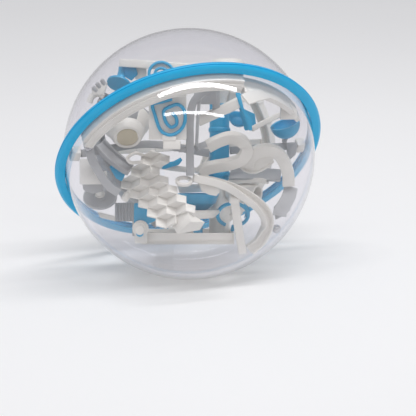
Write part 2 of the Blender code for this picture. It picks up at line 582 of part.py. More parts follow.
def build_front_right(maze):
    """Strut, the two looped tracks, the hook track with its post, strap, bowl, hoop and pipe."""
    track("front_strut", "maze_grey", maze, FRONT_STRUT, TOWARDS_FRONT, slab(*FRONT_STRUT_SECTION),
          CURVE_STEPS)
    track("strut_arm", "maze_grey", maze, STRUT_ARM, TOWARDS_FRONT, slab(*STRUT_ARM_SECTION), COARSE_STEPS)
    loop = channel(*LOOP_SECTION)
    covered = [(side, LOOP_SECTION[1] - height) for side, height in loop]
    track("upper_loop_track", "maze_white", maze, UPPER_LOOP, UPPER_LOOP_UP, covered, CURVE_STEPS)
    lower = track("lower_loop_track", "maze_white", maze, LOWER_LOOP, LOWER_LOOP_UP, loop, CURVE_STEPS)
    dish = prism("lower_loop_dish", "maze_white", maze, DISH_OUTLINE, DISH_THICKNESS, DISH_AT, DISH_LEAN)
    combine(lower, dish, "UNION")
    track("hook_track", "maze_white", maze, HOOK, out_of_hook, channel(*HOOK_SECTION), FINE_STEPS)
    lathe("hook_eye", "maze_white", maze, HOOK_EYE_PROFILE, ROUND_SIDES, HOOK_EYE_AT, HOOK_EYE_TILT)
    track("hook_post", "maze_white", maze, HOOK_POST, HOOK_POST_UP, slab(*HOOK_POST_SECTION), COARSE_STEPS)
    track("grey_strap", "maze_grey", maze, STRAP, TOWARDS_FRONT, slab(*STRAP_SECTION), CURVE_STEPS)
    lathe("stem_bowl", "maze_blue", maze, BOWL_PROFILE, ROUND_SIDES, BOWL_AT)
    back = HOOP_RADIUS * math.sin(math.radians(HOOP_LEAN))
    rise = HOOP_RADIUS * math.cos(math.radians(HOOP_LEAN))
    hoop = [Vector(point) for point in HOOP_STEM]
    for turn in spread(HOOP_START, HOOP_START + HOOP_SWEEP, HOOP_STEPS):
        reach = Vector((HOOP_RADIUS * math.cos(turn), -back * math.sin(turn), rise * math.sin(turn)))
        hoop.append(Vector(HOOP_CENTRE) + reach)
    sweep("wire_hoop", "maze_blue", maze, hoop, HOOP_UP,
          round_wire(HOOP_WIRE, THIN_SIDES))
    lathe("drop_pipe", "maze_white", maze, PIPE_PROFILE, ROUND_SIDES, PIPE_AT, PIPE_AXIS)


def build_upper_right(maze):
    """Straight rails, the blade between them, and the cup that they feed."""
    track("upper_rail", "maze_white", maze, UPPER_RAIL, UPWARDS, channel(*UPPER_RAIL_SECTION), COARSE_STEPS)
    track("lower_rail", "maze_white", maze, LOWER_RAIL, UPWARDS, channel(*LOWER_RAIL_SECTION), COARSE_STEPS)
    block("rail_hanger", "maze_grey", maze, HANGER_SIZE, HANGER_AT)
    prism("link_blade", "maze_blue", maze, BLADE_OUTLINE, BLADE_THICKNESS, (0, BLADE_FRONT, 0))
    bore = CUP_RADIUS - CUP_WALL
    cup = arc_profile(CUP_RADIUS, -90, 0, CUP_BANDS) + arc_profile(bore, 0, -90, CUP_BANDS)
    cup[0] = (0, -CUP_RADIUS)
    cup[-1] = (0, -bore)
    lathe("side_cup", "maze_blue", maze, cup, ROUND_SIDES, CUP_AT, CUP_TILT)
    track("cup_strut", "maze_grey", maze, CUP_STRUT, UPWARDS, round_wire(CUP_STRUT_RADIUS, WIRE_SIDES),
          COARSE_STEPS)


def towards_centre(point):
    """The rear tracks' walls point at the middle of the clear ball."""
    return -point


def build_rear(maze):
    """Start plate with the spool and coil, and the tracks behind the tower."""
    sweep("start_plate", "maze_white", maze, [PLATE_FROM, PLATE_TO], UPWARDS, PLATE_SECTION)
    lathe("start_spool", "maze_blue", maze, SPOOL_PROFILE, ROUND_SIDES, SPOOL_AT, SPOOL_TILT)
    x, y, z = COIL_CENTRE
    inner, outer = COIL_RADII
    coil = []
    for step, turn in enumerate(spread(0, COIL_STEP * COIL_COUNT, COIL_COUNT)):
        reach = inner + (outer - inner) * step / COIL_COUNT
        coil.append(Vector((x - reach * math.cos(turn), y, z + reach * math.sin(turn))))
    sweep("start_coil", "maze_blue", maze, coil, TOWARDS_FRONT, round_wire(COIL_WIRE, THIN_SIDES))
    prism("stud_block", "maze_grey", maze, STUD_OUTLINE, STUD_DEPTH, (0, STUD_FRONT, 0))
    track("rear_chute", "maze_grey", maze, REAR_CHUTE, towards_centre, channel(*REAR_CHUTE_SECTION),
          FINE_STEPS)
    spiral = []
    for step, turn in enumerate(spread(SPIRAL_START, SPIRAL_START + SPIRAL_SWEEP, SPIRAL_STEPS)):
        spiral.append(Vector((TOWER_X + SPIRAL_RADIUS * math.cos(turn),
                              TOWER_Y + SPIRAL_RADIUS * math.sin(turn),
                              SPIRAL_TOP - SPIRAL_DROP * step / SPIRAL_STEPS)))
    sweep("rear_spiral", "maze_white", maze, spiral, UPWARDS, channel(*SPIRAL_SECTION))
    rear = channel(*REAR_SECTION)
    track("rear_arch", "maze_white", maze, REAR_ARCH, towards_centre, rear, FINE_STEPS)
    track("rear_bridge", "maze_white", maze, REAR_BRIDGE, UPWARDS, rear, FINE_STEPS)


def build_ball(maze):
    """Steel ball, resting between the hook track and the ball wall."""
    bm = bmesh.new()
    bmesh.ops.create_uvsphere(bm, u_segments=BALL_SEGMENTS, v_segments=BALL_RINGS, radius=BALL_RADIUS)
    bmesh.ops.translate(bm, vec=BALL_PLACE, verts=bm.verts)
    place("steel_ball", bm, "polished_steel", maze, sharp=BALL_SHARP)


def main():
    clear_scene()
    ring_frame = make_frame("ring_frame", RING_TILT, RING_YAW)
    maze = make_frame("maze_frame", MAZE_LEAN, 0.0)
    build_shell(ring_frame)
    build_feet(ring_frame)
    build_rim_track(ring_frame)
    build_core(maze)
    build_step_crate(maze)
    build_front_left(maze)
    build_spinner(maze)
    build_flipper(maze)
    build_front_right(maze)
    build_upper_right(maze)
    build_rear(maze)
    build_ball(maze)


main()
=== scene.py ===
"""Looks of the ball-run maze: clear domes, blue grip ring and the moulded maze inside.

Every piece is shaped in millimetres, in the ring's frame or in the maze's leaning frame,
and then put in its place in metres: the origin is the centre of the clear ball.
"""

import json
import math

import bmesh
import bpy
from mathutils import Euler, Matrix, Quaternion, Vector


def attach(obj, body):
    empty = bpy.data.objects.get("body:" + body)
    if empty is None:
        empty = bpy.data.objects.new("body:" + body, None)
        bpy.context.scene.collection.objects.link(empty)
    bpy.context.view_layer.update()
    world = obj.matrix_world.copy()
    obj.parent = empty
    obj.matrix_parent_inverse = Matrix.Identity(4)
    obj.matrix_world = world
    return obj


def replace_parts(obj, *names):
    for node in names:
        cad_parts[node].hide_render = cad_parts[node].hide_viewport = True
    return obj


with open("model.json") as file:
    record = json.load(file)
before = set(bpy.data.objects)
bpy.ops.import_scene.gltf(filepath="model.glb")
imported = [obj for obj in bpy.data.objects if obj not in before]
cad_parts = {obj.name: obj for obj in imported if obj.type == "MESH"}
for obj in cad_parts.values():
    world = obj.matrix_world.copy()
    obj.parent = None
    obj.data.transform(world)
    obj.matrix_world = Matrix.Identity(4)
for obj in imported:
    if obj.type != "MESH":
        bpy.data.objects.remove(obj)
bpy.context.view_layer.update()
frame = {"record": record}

MM = 0.001
UPWARDS = (0.0, 0.0, 1.0)
TOWARDS_FRONT = (0.0, -1.0, 0.0)
FULL_TURN = 2 * math.pi

# Where the ring and the maze stand in the ball
RING_TURN = Euler((math.radians(-56.0), 0.0, math.radians(15.0))).to_matrix().to_4x4()
MAZE_TURN = Euler((math.radians(-18.0), 0.0, 0.0)).to_matrix().to_4x4()

# Clear ball and grip ring
SHELL_RADIUS = 100.0
SHELL_WALL = 1.2
FLANGE_RADIUS = 103.0
FLANGE_DEPTH = 2.2
SHELL_BANDS = 48
SHELL_SEGMENTS = 160
HALF_GAP = 0.15
RING_SEGMENTS = 180
RING_FRONT = [(106.2, 1.5), (107.2, 0.8), (106.5, 0.45), (107.5, 0.1), (108.0, -0.9), (108.0, -1.5),
              (107.2, -1.8), (107.2, -2.15), (107.9, -2.45), (107.5, -3.1), (106.8, -3.8), (105.6, -4.5),
              (100.9, -4.5), (100.3, -4.1), (100.3, -2.6), (103.3, -2.6), (103.3, 1.5)]
RING_REAR = [(105.4, 1.8), (105.6, 2.1), (105.2, 2.8), (103.8, 3.6), (100.8, 3.6), (100.3, 3.3), (100.3, 2.6),
             (103.3, 2.6), (103.3, 1.8)]

# Feet on the ring's plane
FOOT_SIZE = (7.1, 10.0, 8.0)
FOOT_MIDDLE = 93.55
FOOT_ANGLES = {"right_foot": 0.0, "rear_foot": 90.0, "left_foot": 188.0, "front_foot": 270.0}

# Track under the ring and the shroud after it
RIM_TRACK = (91.9, -11.2, 201.0, 286.0)
RIM_SECTION = (7.2, 6.8, 1.6)
RIM_BEADS = {"rim_bead_inner": 90.0, "rim_bead_outer": 93.8}
RIM_BEAD_HEIGHT = -11.2
RIM_FLANGE = (97.7, -9.5, 203.0, 285.6)
RIM_FLANGE_SECTION = [(-3, 0), (0.5, 0), (0.5, 7.4), (-0.5, 7.4), (-0.5, 1.2), (-3, 1.2)]
SHROUD = (88.4, -15.0, 327.0, 286.4)
SHROUD_SECTION = [(-5, 0), (-1, 0), (-1, 2), (-3, 2), (-3, 15.4), (-5, 15.4)]
APRON_RADIUS = 92.7
APRON_ANGLES = (300.0, 286.4)
APRON_HEIGHTS = (-15.5, -27.0)
APRON_SECTION = [(-0.9, 0), (0.9, 0), (0.9, 10), (-0.9, 10)]

# Tower, cap, beams and tray
TOWER_FOOT_AT = (24.5, 15.0, 0.0)
TOWER_PROFILE = [(8, 41), (8, 22), (8.9, 21), (8.9, 18.6), (8, 17.6), (8, -14), (8.9, -15), (8.9, -17.4),
                 (8, -18.4), (8, -66.5), (6, -66.5), (6, 41)]
SLEEVE_PROFILE = [(8.2, 60), (8.2, 52), (5.4, 44), (5.4, 40), (4.4, 40), (4.4, 60)]
SKIRT_PROFILE = [(8.25, -23), (8.25, -66.4), (7, -66.4), (7, -23)]
CAP_AT = (31.0, 15.0, 0.0)
CAP_PROFILE = [(0, 77), (7.4, 77), (8, 76.2), (8.8, 77), (11, 77), (14, 74), (14, 65), (8, 60.3), (0, 60.3)]
BEAM = (6.0, 5.0)
BEAMS = {
    "right_beam": ("maze_grey", [(33.2, 15, 3), (60, 19, 5.4), (86.2, 21.9, 7.1)], (0, 1, 0)),
    "left_beam": ("maze_grey", [(15.4, 9.5, 1), (-32, -11, 8.1), (-83.4, -31.15, 0.6)], (0.44, -0.9, 0.0)),
    "front_beam": ("maze_white", [(24, 6, 54), (19, -30, 54), (12.8, -66.8, 54.6)], UPWARDS),
}
TRAY_SIZE = (73.5, 54.0, 9.0)
TRAY_AT = (-1.2, 15.0, -66.5)
TRAY_WALL = 2.0
TRAY_DEPTH = 6.0
LUG = [(-13, 44.6, -64), (-12.6, 51, -54), (-12.6, 60, -50.4), (-12.95, 68.5, -55.1)]

# Stair of corner pockets
CRATE_PIT = Vector((-30.4, -33.0, -19.6))
CRATE_DOWN = Vector((-0.25, -5.5, -5.3))
CRATE_LEFT = Vector((-7.1, -0.5, 1.75))
CRATE_RIGHT = Vector((7.55, -8.0, 3.95))
CRATE_POCKETS = [(-1, -1)] + [(i, j) for j in (0, 1) for i in range(-1, 4)]
CRATE_SHELVES = [(0, -1)]
CRATE_FINS = [(i, -1) for i in range(5)] + [(0, -2)]
CRATE_WALL = 1.5
CRATE_BEAD = 0.6
RAMP_CORNERS = {
    "back_left": (-13.2, -54.4, -53.6), "back": (-8.6, -53.6, -45.2), "back_right": (-1.2, -60.4, -42.6),
    "front_right": (1.0, -62.5, -50.4), "front_left": (-8.9, -58.0, -59.8), "lip_top": (3.8, -58.0, -46.1),
    "lip_end": (11.9, -58.0, -50.9), "lip_foot": (8.1, -54.1, -57.2),
}
RAMP_FACES = [("back_left", "back", "back_right", "front_right", "front_left"),
              ("front_left", "front_right", "lip_end", "lip_foot"), ("back_right", "lip_top", "front_right"),
              ("front_right", "lip_top", "lip_end")]
CRATE_LOOP = [(-35.8, -33, -0.3), (-41, -43, 1), (-46.3, -52, -2.6), (-44, -52, -6.2), (-36.4, -40.6, -5.8)]

# Clip rail on its panel
PANEL = [(-30.0, -64.0, 28.0), (-2.0, -64.0, 28.0)]
PANEL_SECTION = [(-1.2, -17), (1.2, -17), (1.2, 14.6), (7, 14.6), (7, 17), (-1.2, 17)]
CLIP_Y = -67.0
CLIP = [(-12.6, 40.9), (-19.6, 39.0), (-27.0, 36.8), (-25.2, 28.7), (-22.2, 19.6), (-18.7, 15.8),
        (-13.5, 14.4), (-7.4, 17.2), (-3.6, 22.8), (-3.0, 28.7), (-4.4, 34.0), (-8.4, 37.0), (-13.2, 35.8),
        (-18.4, 33.0), (-18.6, 28.4), (-17.0, 23.6), (-13.4, 20.2), (-9.5, 22.3), (-9.6, 27.0), (-12.8, 31.0)]

# Funnel and the grey rails on the left
FUNNEL_AT = (-46.8, -47.0, 12.6)
FUNNEL_MOUTH = (-0.1, 0.75, 0.65)
FUNNEL_PROFILE = [(8.3, 0), (10.5, 0), (12.6, 4), (13.6, 8), (12, 8), (10.8, 4.5), (8.3, 2.2)]
FUNNEL_WING = (16.0, 7.4, -50.0, 210.0)
FUNNEL_WING_SECTION = [(-3.4, 0), (-2.4, 0), (3, 10.6), (1.4, 10.6)]
WINDOW_PROFILE = [(0, 2), (6.2, 2), (7, 1.4), (8, 1.4), (8, 0.3), (0, 0.3)]
CURVED_RAIL = [(-77, -46.4, 8.6), (-73, -46.6, -5), (-67.4, -46.6, -15), (-61.3, -46.6, -23.7),
               (-53.2, -46.6, -29.4)]
RAIL_PIN_AT = (-76, -49.8, 5.6)
RAIL_PIN_PROFILE = [(0, 0.4), (2.3, 0.4), (3, -0.2), (3, -1.4), (0, -1.4)]
GREY_CHUTE = [(-69.4, -40, 7), (-59.5, -41.5, -3), (-49.5, -43, -10.5), (-44.8, -43.7, -12.8)]
GREY_CHUTE_UP = (0.35, -0.75, 0.55)
LEFT_BLOCK = [(-84, -3.4), (-73, -3.4), (-73, -13), (-65, -13), (-65, -23), (-84, -23)]
LEFT_BLOCK_FRONT = -36.0
LEFT_BLOCK_DEPTH = 30.0

# Spinner and flipper, and what they turn on
SPINNER_PIVOT = (-71.0, -2.0, -34.0)
SPINNER_AXIS = (0.0, -0.67, 0.742)
SPINNER_PROFILE = [(13.5, 1.2), (13.5, -1.2), (4, -1.2), (2.9, -2), (2.9, 2), (4, 2), (5, 0.8), (11.6, 0.8),
                   (12.2, 1.2)]
SPINNER_PIN_PROFILE = [(0, 11.6), (2.9, 11.6), (2.9, 3.8), (4, 3.8), (4, 2.4), (2.5, 2.4), (2.5, -2.4),
                       (4, -2.4), (4, -4.2), (0, -4.2)]
FLIPPER_PIVOT = (-38.0, -19.2, -57.6)
FLIPPER_OUTLINE = [(-5.2, 2), (-5.2, 19.5), (8, 20), (12, 6), (5, 2.5), (5, -2), (2.5, -5), (-2.5, -5),
                   (-5.2, -2)]
FLIPPER_THICKNESS = 3.6
FLIPPER_BORE = 2.9
BOSS_PROFILE = [(0, 8), (4.6, 8), (4.6, 6), (6.3, 6), (6.3, 2.1), (2.6, 2.1), (2.6, -2.6), (0, -2.6)]
RIB_COUNT = 7
RIB_FROM_X = -60.0
RIB_TO_X = -42.0
RIB_CREST_Y = 8.0
RIB_ROOT_Y = 9.6
RIB_BACK = [(-38.4, 9.0), (-38.4, 12.0), (-60.0, 12.0)]
RIB_FOOT_Z = -54.0
RIB_HEIGHT = 15.0

# Bracket, looped tracks, hook, strap, bowl, hoop and pipe on the right
FRONT_STRUT = [(14.5, -51, 48.4), (8, -51.5, 45), (2.4, -51, 37), (0.6, -50.5, 24), (0.6, -50, 4),
               (0.6, -49, -16)]
STRUT_ARM = [(5.4, -48.2, 4.8), (9, -43.4, 6.4), (12.0, -37.7, 7.6)]
LOOP_SECTION = (9.6, 5.4, 1.8)
UPPER_LOOP_UP = (0.0, -0.76, -0.65)
LOWER_LOOP_UP = (0.0, -0.85, -0.5)
UPPER_LOOP = [(13.5, -30, 7.4), (22, -31, 11.8), (31.5, -32, 14.6), (40, -32, 12.4), (44, -31, 5.4),
              (40.4, -30, -1.6), (32, -29, -5.4), (21, -28, -7.4), (13, -27.6, -9.4), (8, -27, -13.6)]
LOWER_LOOP = [(45.5, -15.6, -8.2), (47, -19.5, -1.6), (53.5, -22.5, 3.6), (61.5, -22.6, 4.8),
              (69, -19, 2.4), (74.6, -12.6, -4.4), (78.2, -7.6, -13.6), (79, -3, -23.4)]
DISH_OUTLINE = [(44, 2.3), (41.2, -3.5), (40.6, -9.5), (42.5, -12.8), (47.4, -15.2), (53, -15.1),
                (59.5, -11.6), (66, -5.2), (66, 1.2), (60, 3.5), (52, 3.5)]
DISH_THICKNESS = 1.8
DISH_AT = (0.0, -21.95, -0.91)
DISH_LEAN = (0.0, -0.507, 0.862)
DISH_RIM = [(44, 0, 2.3), (41.2, 0, -3.5), (40.6, 0, -9.5), (42.5, 0, -12.8), (47.4, 0, -15.2),
            (53, 0, -15.1), (59.5, 0, -11.6), (66, 0, -5.2)]
DISH_RIDGE = [(47, 0, -4), (50, 0, -0.6), (56, 0, 0.6), (61, 0, -2)]
HOOK = [(2.5, -44, -21), (20.8, -42, -24.4), (39, -33, -32), (54.0, -20, -42.1), (60.7, -4, -54.6),
        (56.4, 3, -68.3), (47.7, 2, -76.3)]
HOOK_HEART = Vector((33.0, 0.0, -58.0))
HOOK_TWIST_FROM = -21.0
HOOK_TWIST_OVER = 12.0
HOOK_SECTION = (9.2, 6.0, 1.6)
HOOK_EYE_AT = (-4.0, -48.0, -20.4)
HOOK_EYE_TILT = (0.0, -0.5, 0.86)
HOOK_EYE_PROFILE = [(4.2, 1.3), (6.6, 1.3), (6.6, -1.3), (4.2, -1.3)]
HOOK_POST = [(35, -32.6, -34.4), (38.4, -20, -57), (42.4, -5, -78)]
HOOK_POST_UP = (0.2, -0.8, -0.6)
STRAP = [(81.2, -2.4, -26), (79.2, -5.6, -33.4), (75.2, -9.8, -40), (72.2, -11.8, -44.4), (71.4, -12.8, -48.6)]
BOWL_AT = (7.0, -3.5, 0.0)
BOWL_PROFILE = [(0, -42), (6, -41), (11.5, -37.5), (15.2, -31), (17, -31), (13.8, -39), (8, -43.4),
                (3.8, -45.6), (3.8, -63), (6, -65), (6, -67.4), (0, -67.4)]
SAUCER_AT = (6.5, -6.0, 0.0)
SAUCER_PROFILE = [(0, -48.6), (11, -47.6), (16.4, -44.6), (17.8, -43.4), (18.4, -43.8), (18.2, -46),
                  (13, -50.4), (0, -51.4)]
HOOP_CENTRE = Vector((34.7, -7.0, -48.0))
HOOP_RADIUS = 12.1
HOOP_LEAN = math.radians(39.0)
HOOP_ANGLES = (-88.0, 242.0)
HOOP_STEM = [(34.6, 0.6, -61.7), (34.6, 0.6, -59.4)]
HOOP_UP = (0.1, -0.78, -0.63)
PIPE_AT = (33.0, 10.8, -29.4)
PIPE_AXIS = (0.83, -0.55, -0.1)
PIPE_PROFILE = [(8, 26), (8, 3), (8.0, 0), (6, 0), (6, 26)]

# Rails, blade and cup at the upper right
UPPER_RAIL = [(7, -20, 25.4), (28, -18, 34.4), (49, -12, 44.6)]
LOWER_RAIL = [(50, -12, 18), (60, -10.6, 23.4), (72.5, -9.2, 29.4)]
BLADE_OUTLINE = [(36.6, 48), (48, 48), (48, 44), (41.4, 43), (43.4, 36), (52, 32), (53, 24), (48.4, 22),
                 (46.8, 19), (44, 19)]
BLADE_THICKNESS = 2.6
BLADE_FRONT = -7.1
CUP_AT = (76.0, -5.0, 24.2)
CUP_TILT = (-0.28, -0.34, 0.9)
CUP_RADIUS = 12.0
CUP_BORE = 10.0
CUP_STRUT = [(77, 3.5, 13), (77.2, 10, 12), (77.5, 17.4, 11)]

# Start plate, spool, coil and the tracks behind the tower
PLATE = [(-55.4, 8.0, 74.5), (16.3, 8.0, 69.5)]
PLATE_SECTION = [(-10, -1.5), (8, -1.5), (8, -4.8), (10, -4.8), (10, 1.5), (-10, 1.5)]
SPOOL_AT = (-55.9, 0.0, 56.2)
SPOOL_TILT = (0.2, 0.54, 0.81)
SPOOL_PROFILE = [(0, 17.1), (4, 17.1), (4, 15.6), (3.4, 11), (3.4, 5), (5.6, 2.6), (9.8, 1), (9.8, -1),
                 (0, -1)]
COIL_CENTRE = (-23.0, -3.6, 63.0)
COIL_RADII = (4.0, 11.0)
COIL_TURN = 528.0
STUD_OUTLINE = [(-75.6, 47), (-67.4, 47), (-64.6, 57), (-68, 57.4), (-71.6, 55.6), (-74.6, 52), (-77.4, 51.4)]
STUD_PROFILE = [(0, 2.6), (1.3, 2.6), (1.7, 2.2), (1.7, -2), (0, -2)]
STUD_LEAN = (-0.6, -0.3, 0.74)
STUDS_AT = [(-67.8, -7, 57.0), (-71.6, -7, 54.4), (-74.4, -7, 51.4)]
STUD_DEPTH = 7.0
STUD_FRONT = -7.4
REAR_CHUTE = [(-70.5, -1.1, 46.4), (-77, 20, 25), (-73, 41, -4), (-54, 56, -34), (-25.2, 46.6, -59.4)]
SPIRAL_RADIUS = 13.0
SPIRAL_ANGLES = (10.0, 170.0)
SPIRAL_TOP = 50.0
SPIRAL_DROP = 75.0
REAR_ARCH = [(40, 33, 64), (58, 44, 44), (69, 50, 8), (55, 56, -34), (25, 47, -59.5)]
REAR_BRIDGE = [(-63, 45.6, 0), (-30, 69, 2), (8, 77, 4), (42, 68, 6), (62.6, 53.6, 7)]

COLLAR_PROUD = 0.6
COLLAR_LENGTH = 2.0
PLATE_BAND = [(-10.4, -1.0), (7.6, -1.0), (7.6, 2.0), (-10.4, 2.0)]
TRAY_RIBS_AT = (-22.0, -6.0, 10.0)
TRAY_RIB_SIZE = (1.4, 50.4, 4.0)
TRAY_POST_PROFILE = [(1.3, 0), (3, 0), (3, -4.8), (1.3, -4.8)]
TRAY_POSTS_AT = [(-32.5, -6.5), (-32.5, 36.5), (30.1, -6.5), (30.1, 36.5)]
TRAY_POST_TOP = -64.0

# Smaller mouldings: finish, outline in X and Z, front and depth
BOSS_PIN_PROFILE = [(0, 8.6), (2.6, 8.6), (3, 8.2), (3, 7.4), (0, 7.4)]
BOSS_CAP_PROFILE = [(0, 10.4), (3.2, 10.4), (3.8, 9.8), (3.8, 7.4), (0, 7.4)]
CRATE_PEG_PROFILE = [(0, 3.6), (2.4, 3.6), (3, 3), (3, -2), (2, -3), (2, -8), (0, -8)]
KNUCKLE_PROFILE = [(0, 4), (2.6, 4), (3.4, 3.2), (3.4, -3.2), (2.6, -4), (0, -4)]
FLAT_TRIM = {
    "blue_arm": ("maze_blue", [(-21.9, -11.4), (-19.6, -6.8), (-12.1, -5.3), (-6.8, -2.3), (-5.3, -4.6),
                               (-8.3, -8.4), (-19.6, -11.6)], -11.0, 4.0),
    "beam_plate": ("maze_grey", [(3.7, 47.5), (12.5, 47.5), (14.5, 52.2), (20.8, 52.2), (21.4, 38.5),
                                 (3.7, 38.5)], -36.0, 2.4),
    "blue_wedge": ("maze_blue", [(-61.0, -9.6), (-56.5, -4.5), (-47.5, -12.5), (-51.5, -20.6),
                                 (-55.9, -18.4)], -41.8, 2.8),
    "box_lip": ("maze_white", [(-20, 10), (-9.6, 10), (-9.6, 13.4), (-20, 14.6)], -67.4, 2.0),
    # Grey plate behind the funnel's mouth is painted shade: a dark sheet put where the inside of the funnel
    # lies in shade
    "funnel_shade_plate": ("maze_grey", [(-60, 24), (-31, 24), (-31, 33), (-36, 36.5), (-52, 36)], -33.4, 1.6),
    "shroud_cheek": ("maze_white", [(70.3, 45), (76.8, 39.6), (82.4, 34.4), (82.4, 27), (70.3, 26.8)],
                     -37.0, 10.0),
    "tower_deck": ("maze_white", [(-10, -23.5), (20, -24.5), (20, -30), (-8, -31)], 9.0, 2.0),
    "hoop_fin": ("maze_blue", [(43.6, -38.5), (49.8, -44), (43.4, -51), (44.8, -45)], -8.0, 2.0),
    "strap_tail": ("maze_grey", [(72, -37), (67, -41.5), (68.4, -52), (76.7, -47.4), (80.6, -43.5)],
                   -9.6, 2.0),
    "side_panel": ("maze_grey", [(79, 9), (88, 10), (87, 0), (80, -6)], 17.0, 2.0),
    "block_skirt": ("maze_grey", [(-84, -22.6), (-66, -22.6), (-68, -29), (-76, -31), (-83, -28)],
                    -16.0, 2.5),
    "ring_ledge": ("maze_white", [(-74, -46.5), (-59.6, -50), (-59.6, -54), (-72, -51)], 8.6, 5.0),
    "spool_web": ("maze_blue", [(-51.6, 72.4), (-43, 71.8), (-41, 64), (-46, 58.8), (-51.6, 62)],
                  3.0, 2.0),
    "rib_leg": ("maze_grey", [(-46, -66), (-38.4, -66), (-38.4, -53.8), (-46, -53.8)], 8.6, 3.4),
    "hook_belly": ("maze_white", [(6.5, -21.4), (10, -28.3), (15, -30.8), (21, -31.7), (23.4, -28),
                                  (20, -23.8), (12, -22.2)], -43.6, 5.0),
    "blade_fin": ("maze_blue", [(35.6, 47.6), (39.2, 47.6), (42, 36), (48.6, 27), (48.6, 18.4), (46, 18.4),
                                (43.6, 27), (39, 37)], -31.0, 1.4),
}
BOSS_PIN_AT = (-38.4, -19.2, -61.0)
BOSS_CAP_AT = (-38.4, -19.2, -58.6)
CRATE_PEG_AT = (-48.4, -33.0, -32.4)
CRATE_PEG_AXIS = (-0.45, -0.5, -0.74)
SCOOP_PROFILE = [(0, -5.4), (5.6, -4.2), (8.6, 0), (8, 0), (5, -3), (0, -4.2)]
RAIL_KNOB_PROFILE = [(0, 4), (2.6, 4), (3.4, 3.2), (3.4, -5), (0, -5)]
STRUT_STUB = [(0, -49.4, 4.5), (-4, -49, 3.6), (-8, -48.6, 3.2)]
RAIL_LIP = [(7, -28.9, 25), (27.8, -28.9, 34.35), (41, -28.9, 40.8)]
STUD_BEND = [(-79.2, -4, 41), (-76.8, -4, 46), (-72, -4, 48), (-67.6, -4, 45.6)]
PIPE_TROUGH = [(33, 6, -24), (54, -3, -22.5), (62, -6, -23.5)]
INNER_RAMP = [(-25, -8, -11.2), (-10, -2, -13.6), (6, 5, -15), (18.4, 10, -15.5)]
STRUT_RIB = [(8.4, -51, 44.4), (7.4, -50.4, 37), (6.4, -49.6, 24), (5.6, -48.8, 6)]
GREY_LEDGE = [(33, 4, -15), (54, -2, -15.6), (73, -4, -17)]
LEDGE_UP = (0.0, -0.7, 0.7)
POST_RIB = [(32, -35, -35), (35.6, -22.6, -57.2), (39.6, -7.8, -77.6)]

# Glow of the floor behind the ball: from and to which Y in metres, and how strong there
FLOOR_GLOW = (-0.25, 0.45, 0.02, 0.11)

# Steel ball
BALL_RADIUS = 3.5
BALL_PLACE = (70.7, 8.9, -60.3)


def new_finish(name):
    """Material with its node tree, and a helper for adding nodes to it."""
    material = bpy.data.materials.new(name)
    material.use_nodes = True
    tree = material.node_tree
    shader = tree.nodes["Principled BSDF"]
    return material, tree, shader


def speckle(tree, coords, scale, detail):
    """Noise over the piece, in features of about 1 / scale metres."""
    noise = tree.nodes.new("ShaderNodeTexNoise")
    noise.inputs["Scale"].default_value = scale
    noise.inputs["Detail"].default_value = detail
    tree.links.new(coords.outputs["Object"], noise.inputs["Vector"])
    return noise.outputs["Fac"]


def blend_colours(tree, amount, dark, light, low=0.35, high=0.65):
    ramp = tree.nodes.new("ShaderNodeValToRGB")
    ramp.color_ramp.elements[0].position = low
    ramp.color_ramp.elements[0].color = (*dark, 1.0)
    ramp.color_ramp.elements[1].position = high
    ramp.color_ramp.elements[1].color = (*light, 1.0)
    tree.links.new(amount, ramp.inputs["Fac"])
    return ramp.outputs["Color"]


def stretch(tree, amount, low, high):
    spread_node = tree.nodes.new("ShaderNodeMapRange")
    spread_node.inputs["From Min"].default_value = 0.3
    spread_node.inputs["From Max"].default_value = 0.7
    spread_node.inputs["To Min"].default_value = low
    spread_node.inputs["To Max"].default_value = high
    tree.links.new(amount, spread_node.inputs["Value"])
    return spread_node.outputs["Result"]


def moulded_plastic(name, dark, light, roughness, ripple, grain=1600.0):
    """Injection-moulded plastic: slight flow marks in the colour, uneven gloss, a fine skin."""
    material, tree, shader = new_finish(name)
    coords = tree.nodes.new("ShaderNodeTexCoord")
    flow = speckle(tree, coords, 70.0, 3.0)
    tree.links.new(blend_colours(tree, flow, dark, light), shader.inputs["Base Color"])
    scuff = speckle(tree, coords, 420.0, 4.0)
    tree.links.new(stretch(tree, scuff, roughness - 0.025, roughness + 0.025), shader.inputs["Roughness"])
    skin = speckle(tree, coords, grain, 2.0)
    bump = tree.nodes.new("ShaderNodeBump")
    bump.inputs["Strength"].default_value = ripple
    bump.inputs["Distance"].default_value = 0.0002
    tree.links.new(skin, bump.inputs["Height"])
    tree.links.new(bump.outputs["Normal"], shader.inputs["Normal"])
    shader.inputs["IOR"].default_value = 1.5
    return material


def clear_plastic(name):
    """Clear dome wall, lavender where it is seen edge on, with the odd hairline of wear."""
    material, tree, shader = new_finish(name)
    coords = tree.nodes.new("ShaderNodeTexCoord")
    slant = tree.nodes.new("ShaderNodeLayerWeight")
    tint = blend_colours(tree, slant.outputs["Facing"], (0.955, 0.95, 0.96), (0.90, 0.89, 0.94), 0.2, 0.9)
    tree.links.new(tint, shader.inputs["Base Color"])
    wear = speckle(tree, coords, 60.0, 5.0)
    tree.links.new(stretch(tree, wear, 0.015, 0.035), shader.inputs["Roughness"])
    shader.inputs["Transmission Weight"].default_value = 1.0
    shader.inputs["IOR"].default_value = 1.49
    return material


def polished_metal(name):
    material, tree, shader = new_finish(name)
    coords = tree.nodes.new("ShaderNodeTexCoord")
    smear = speckle(tree, coords, 500.0, 3.0)
    tree.links.new(blend_colours(tree, smear, (0.56, 0.56, 0.58), (0.64, 0.64, 0.66)),
                   shader.inputs["Base Color"])
    tree.links.new(stretch(tree, smear, 0.07, 0.13), shader.inputs["Roughness"])
    shader.inputs["Metallic"].default_value = 1.0
    shader.inputs["Specular Tint"].default_value = (0.2, 0.2, 0.23, 1.0)
    return material


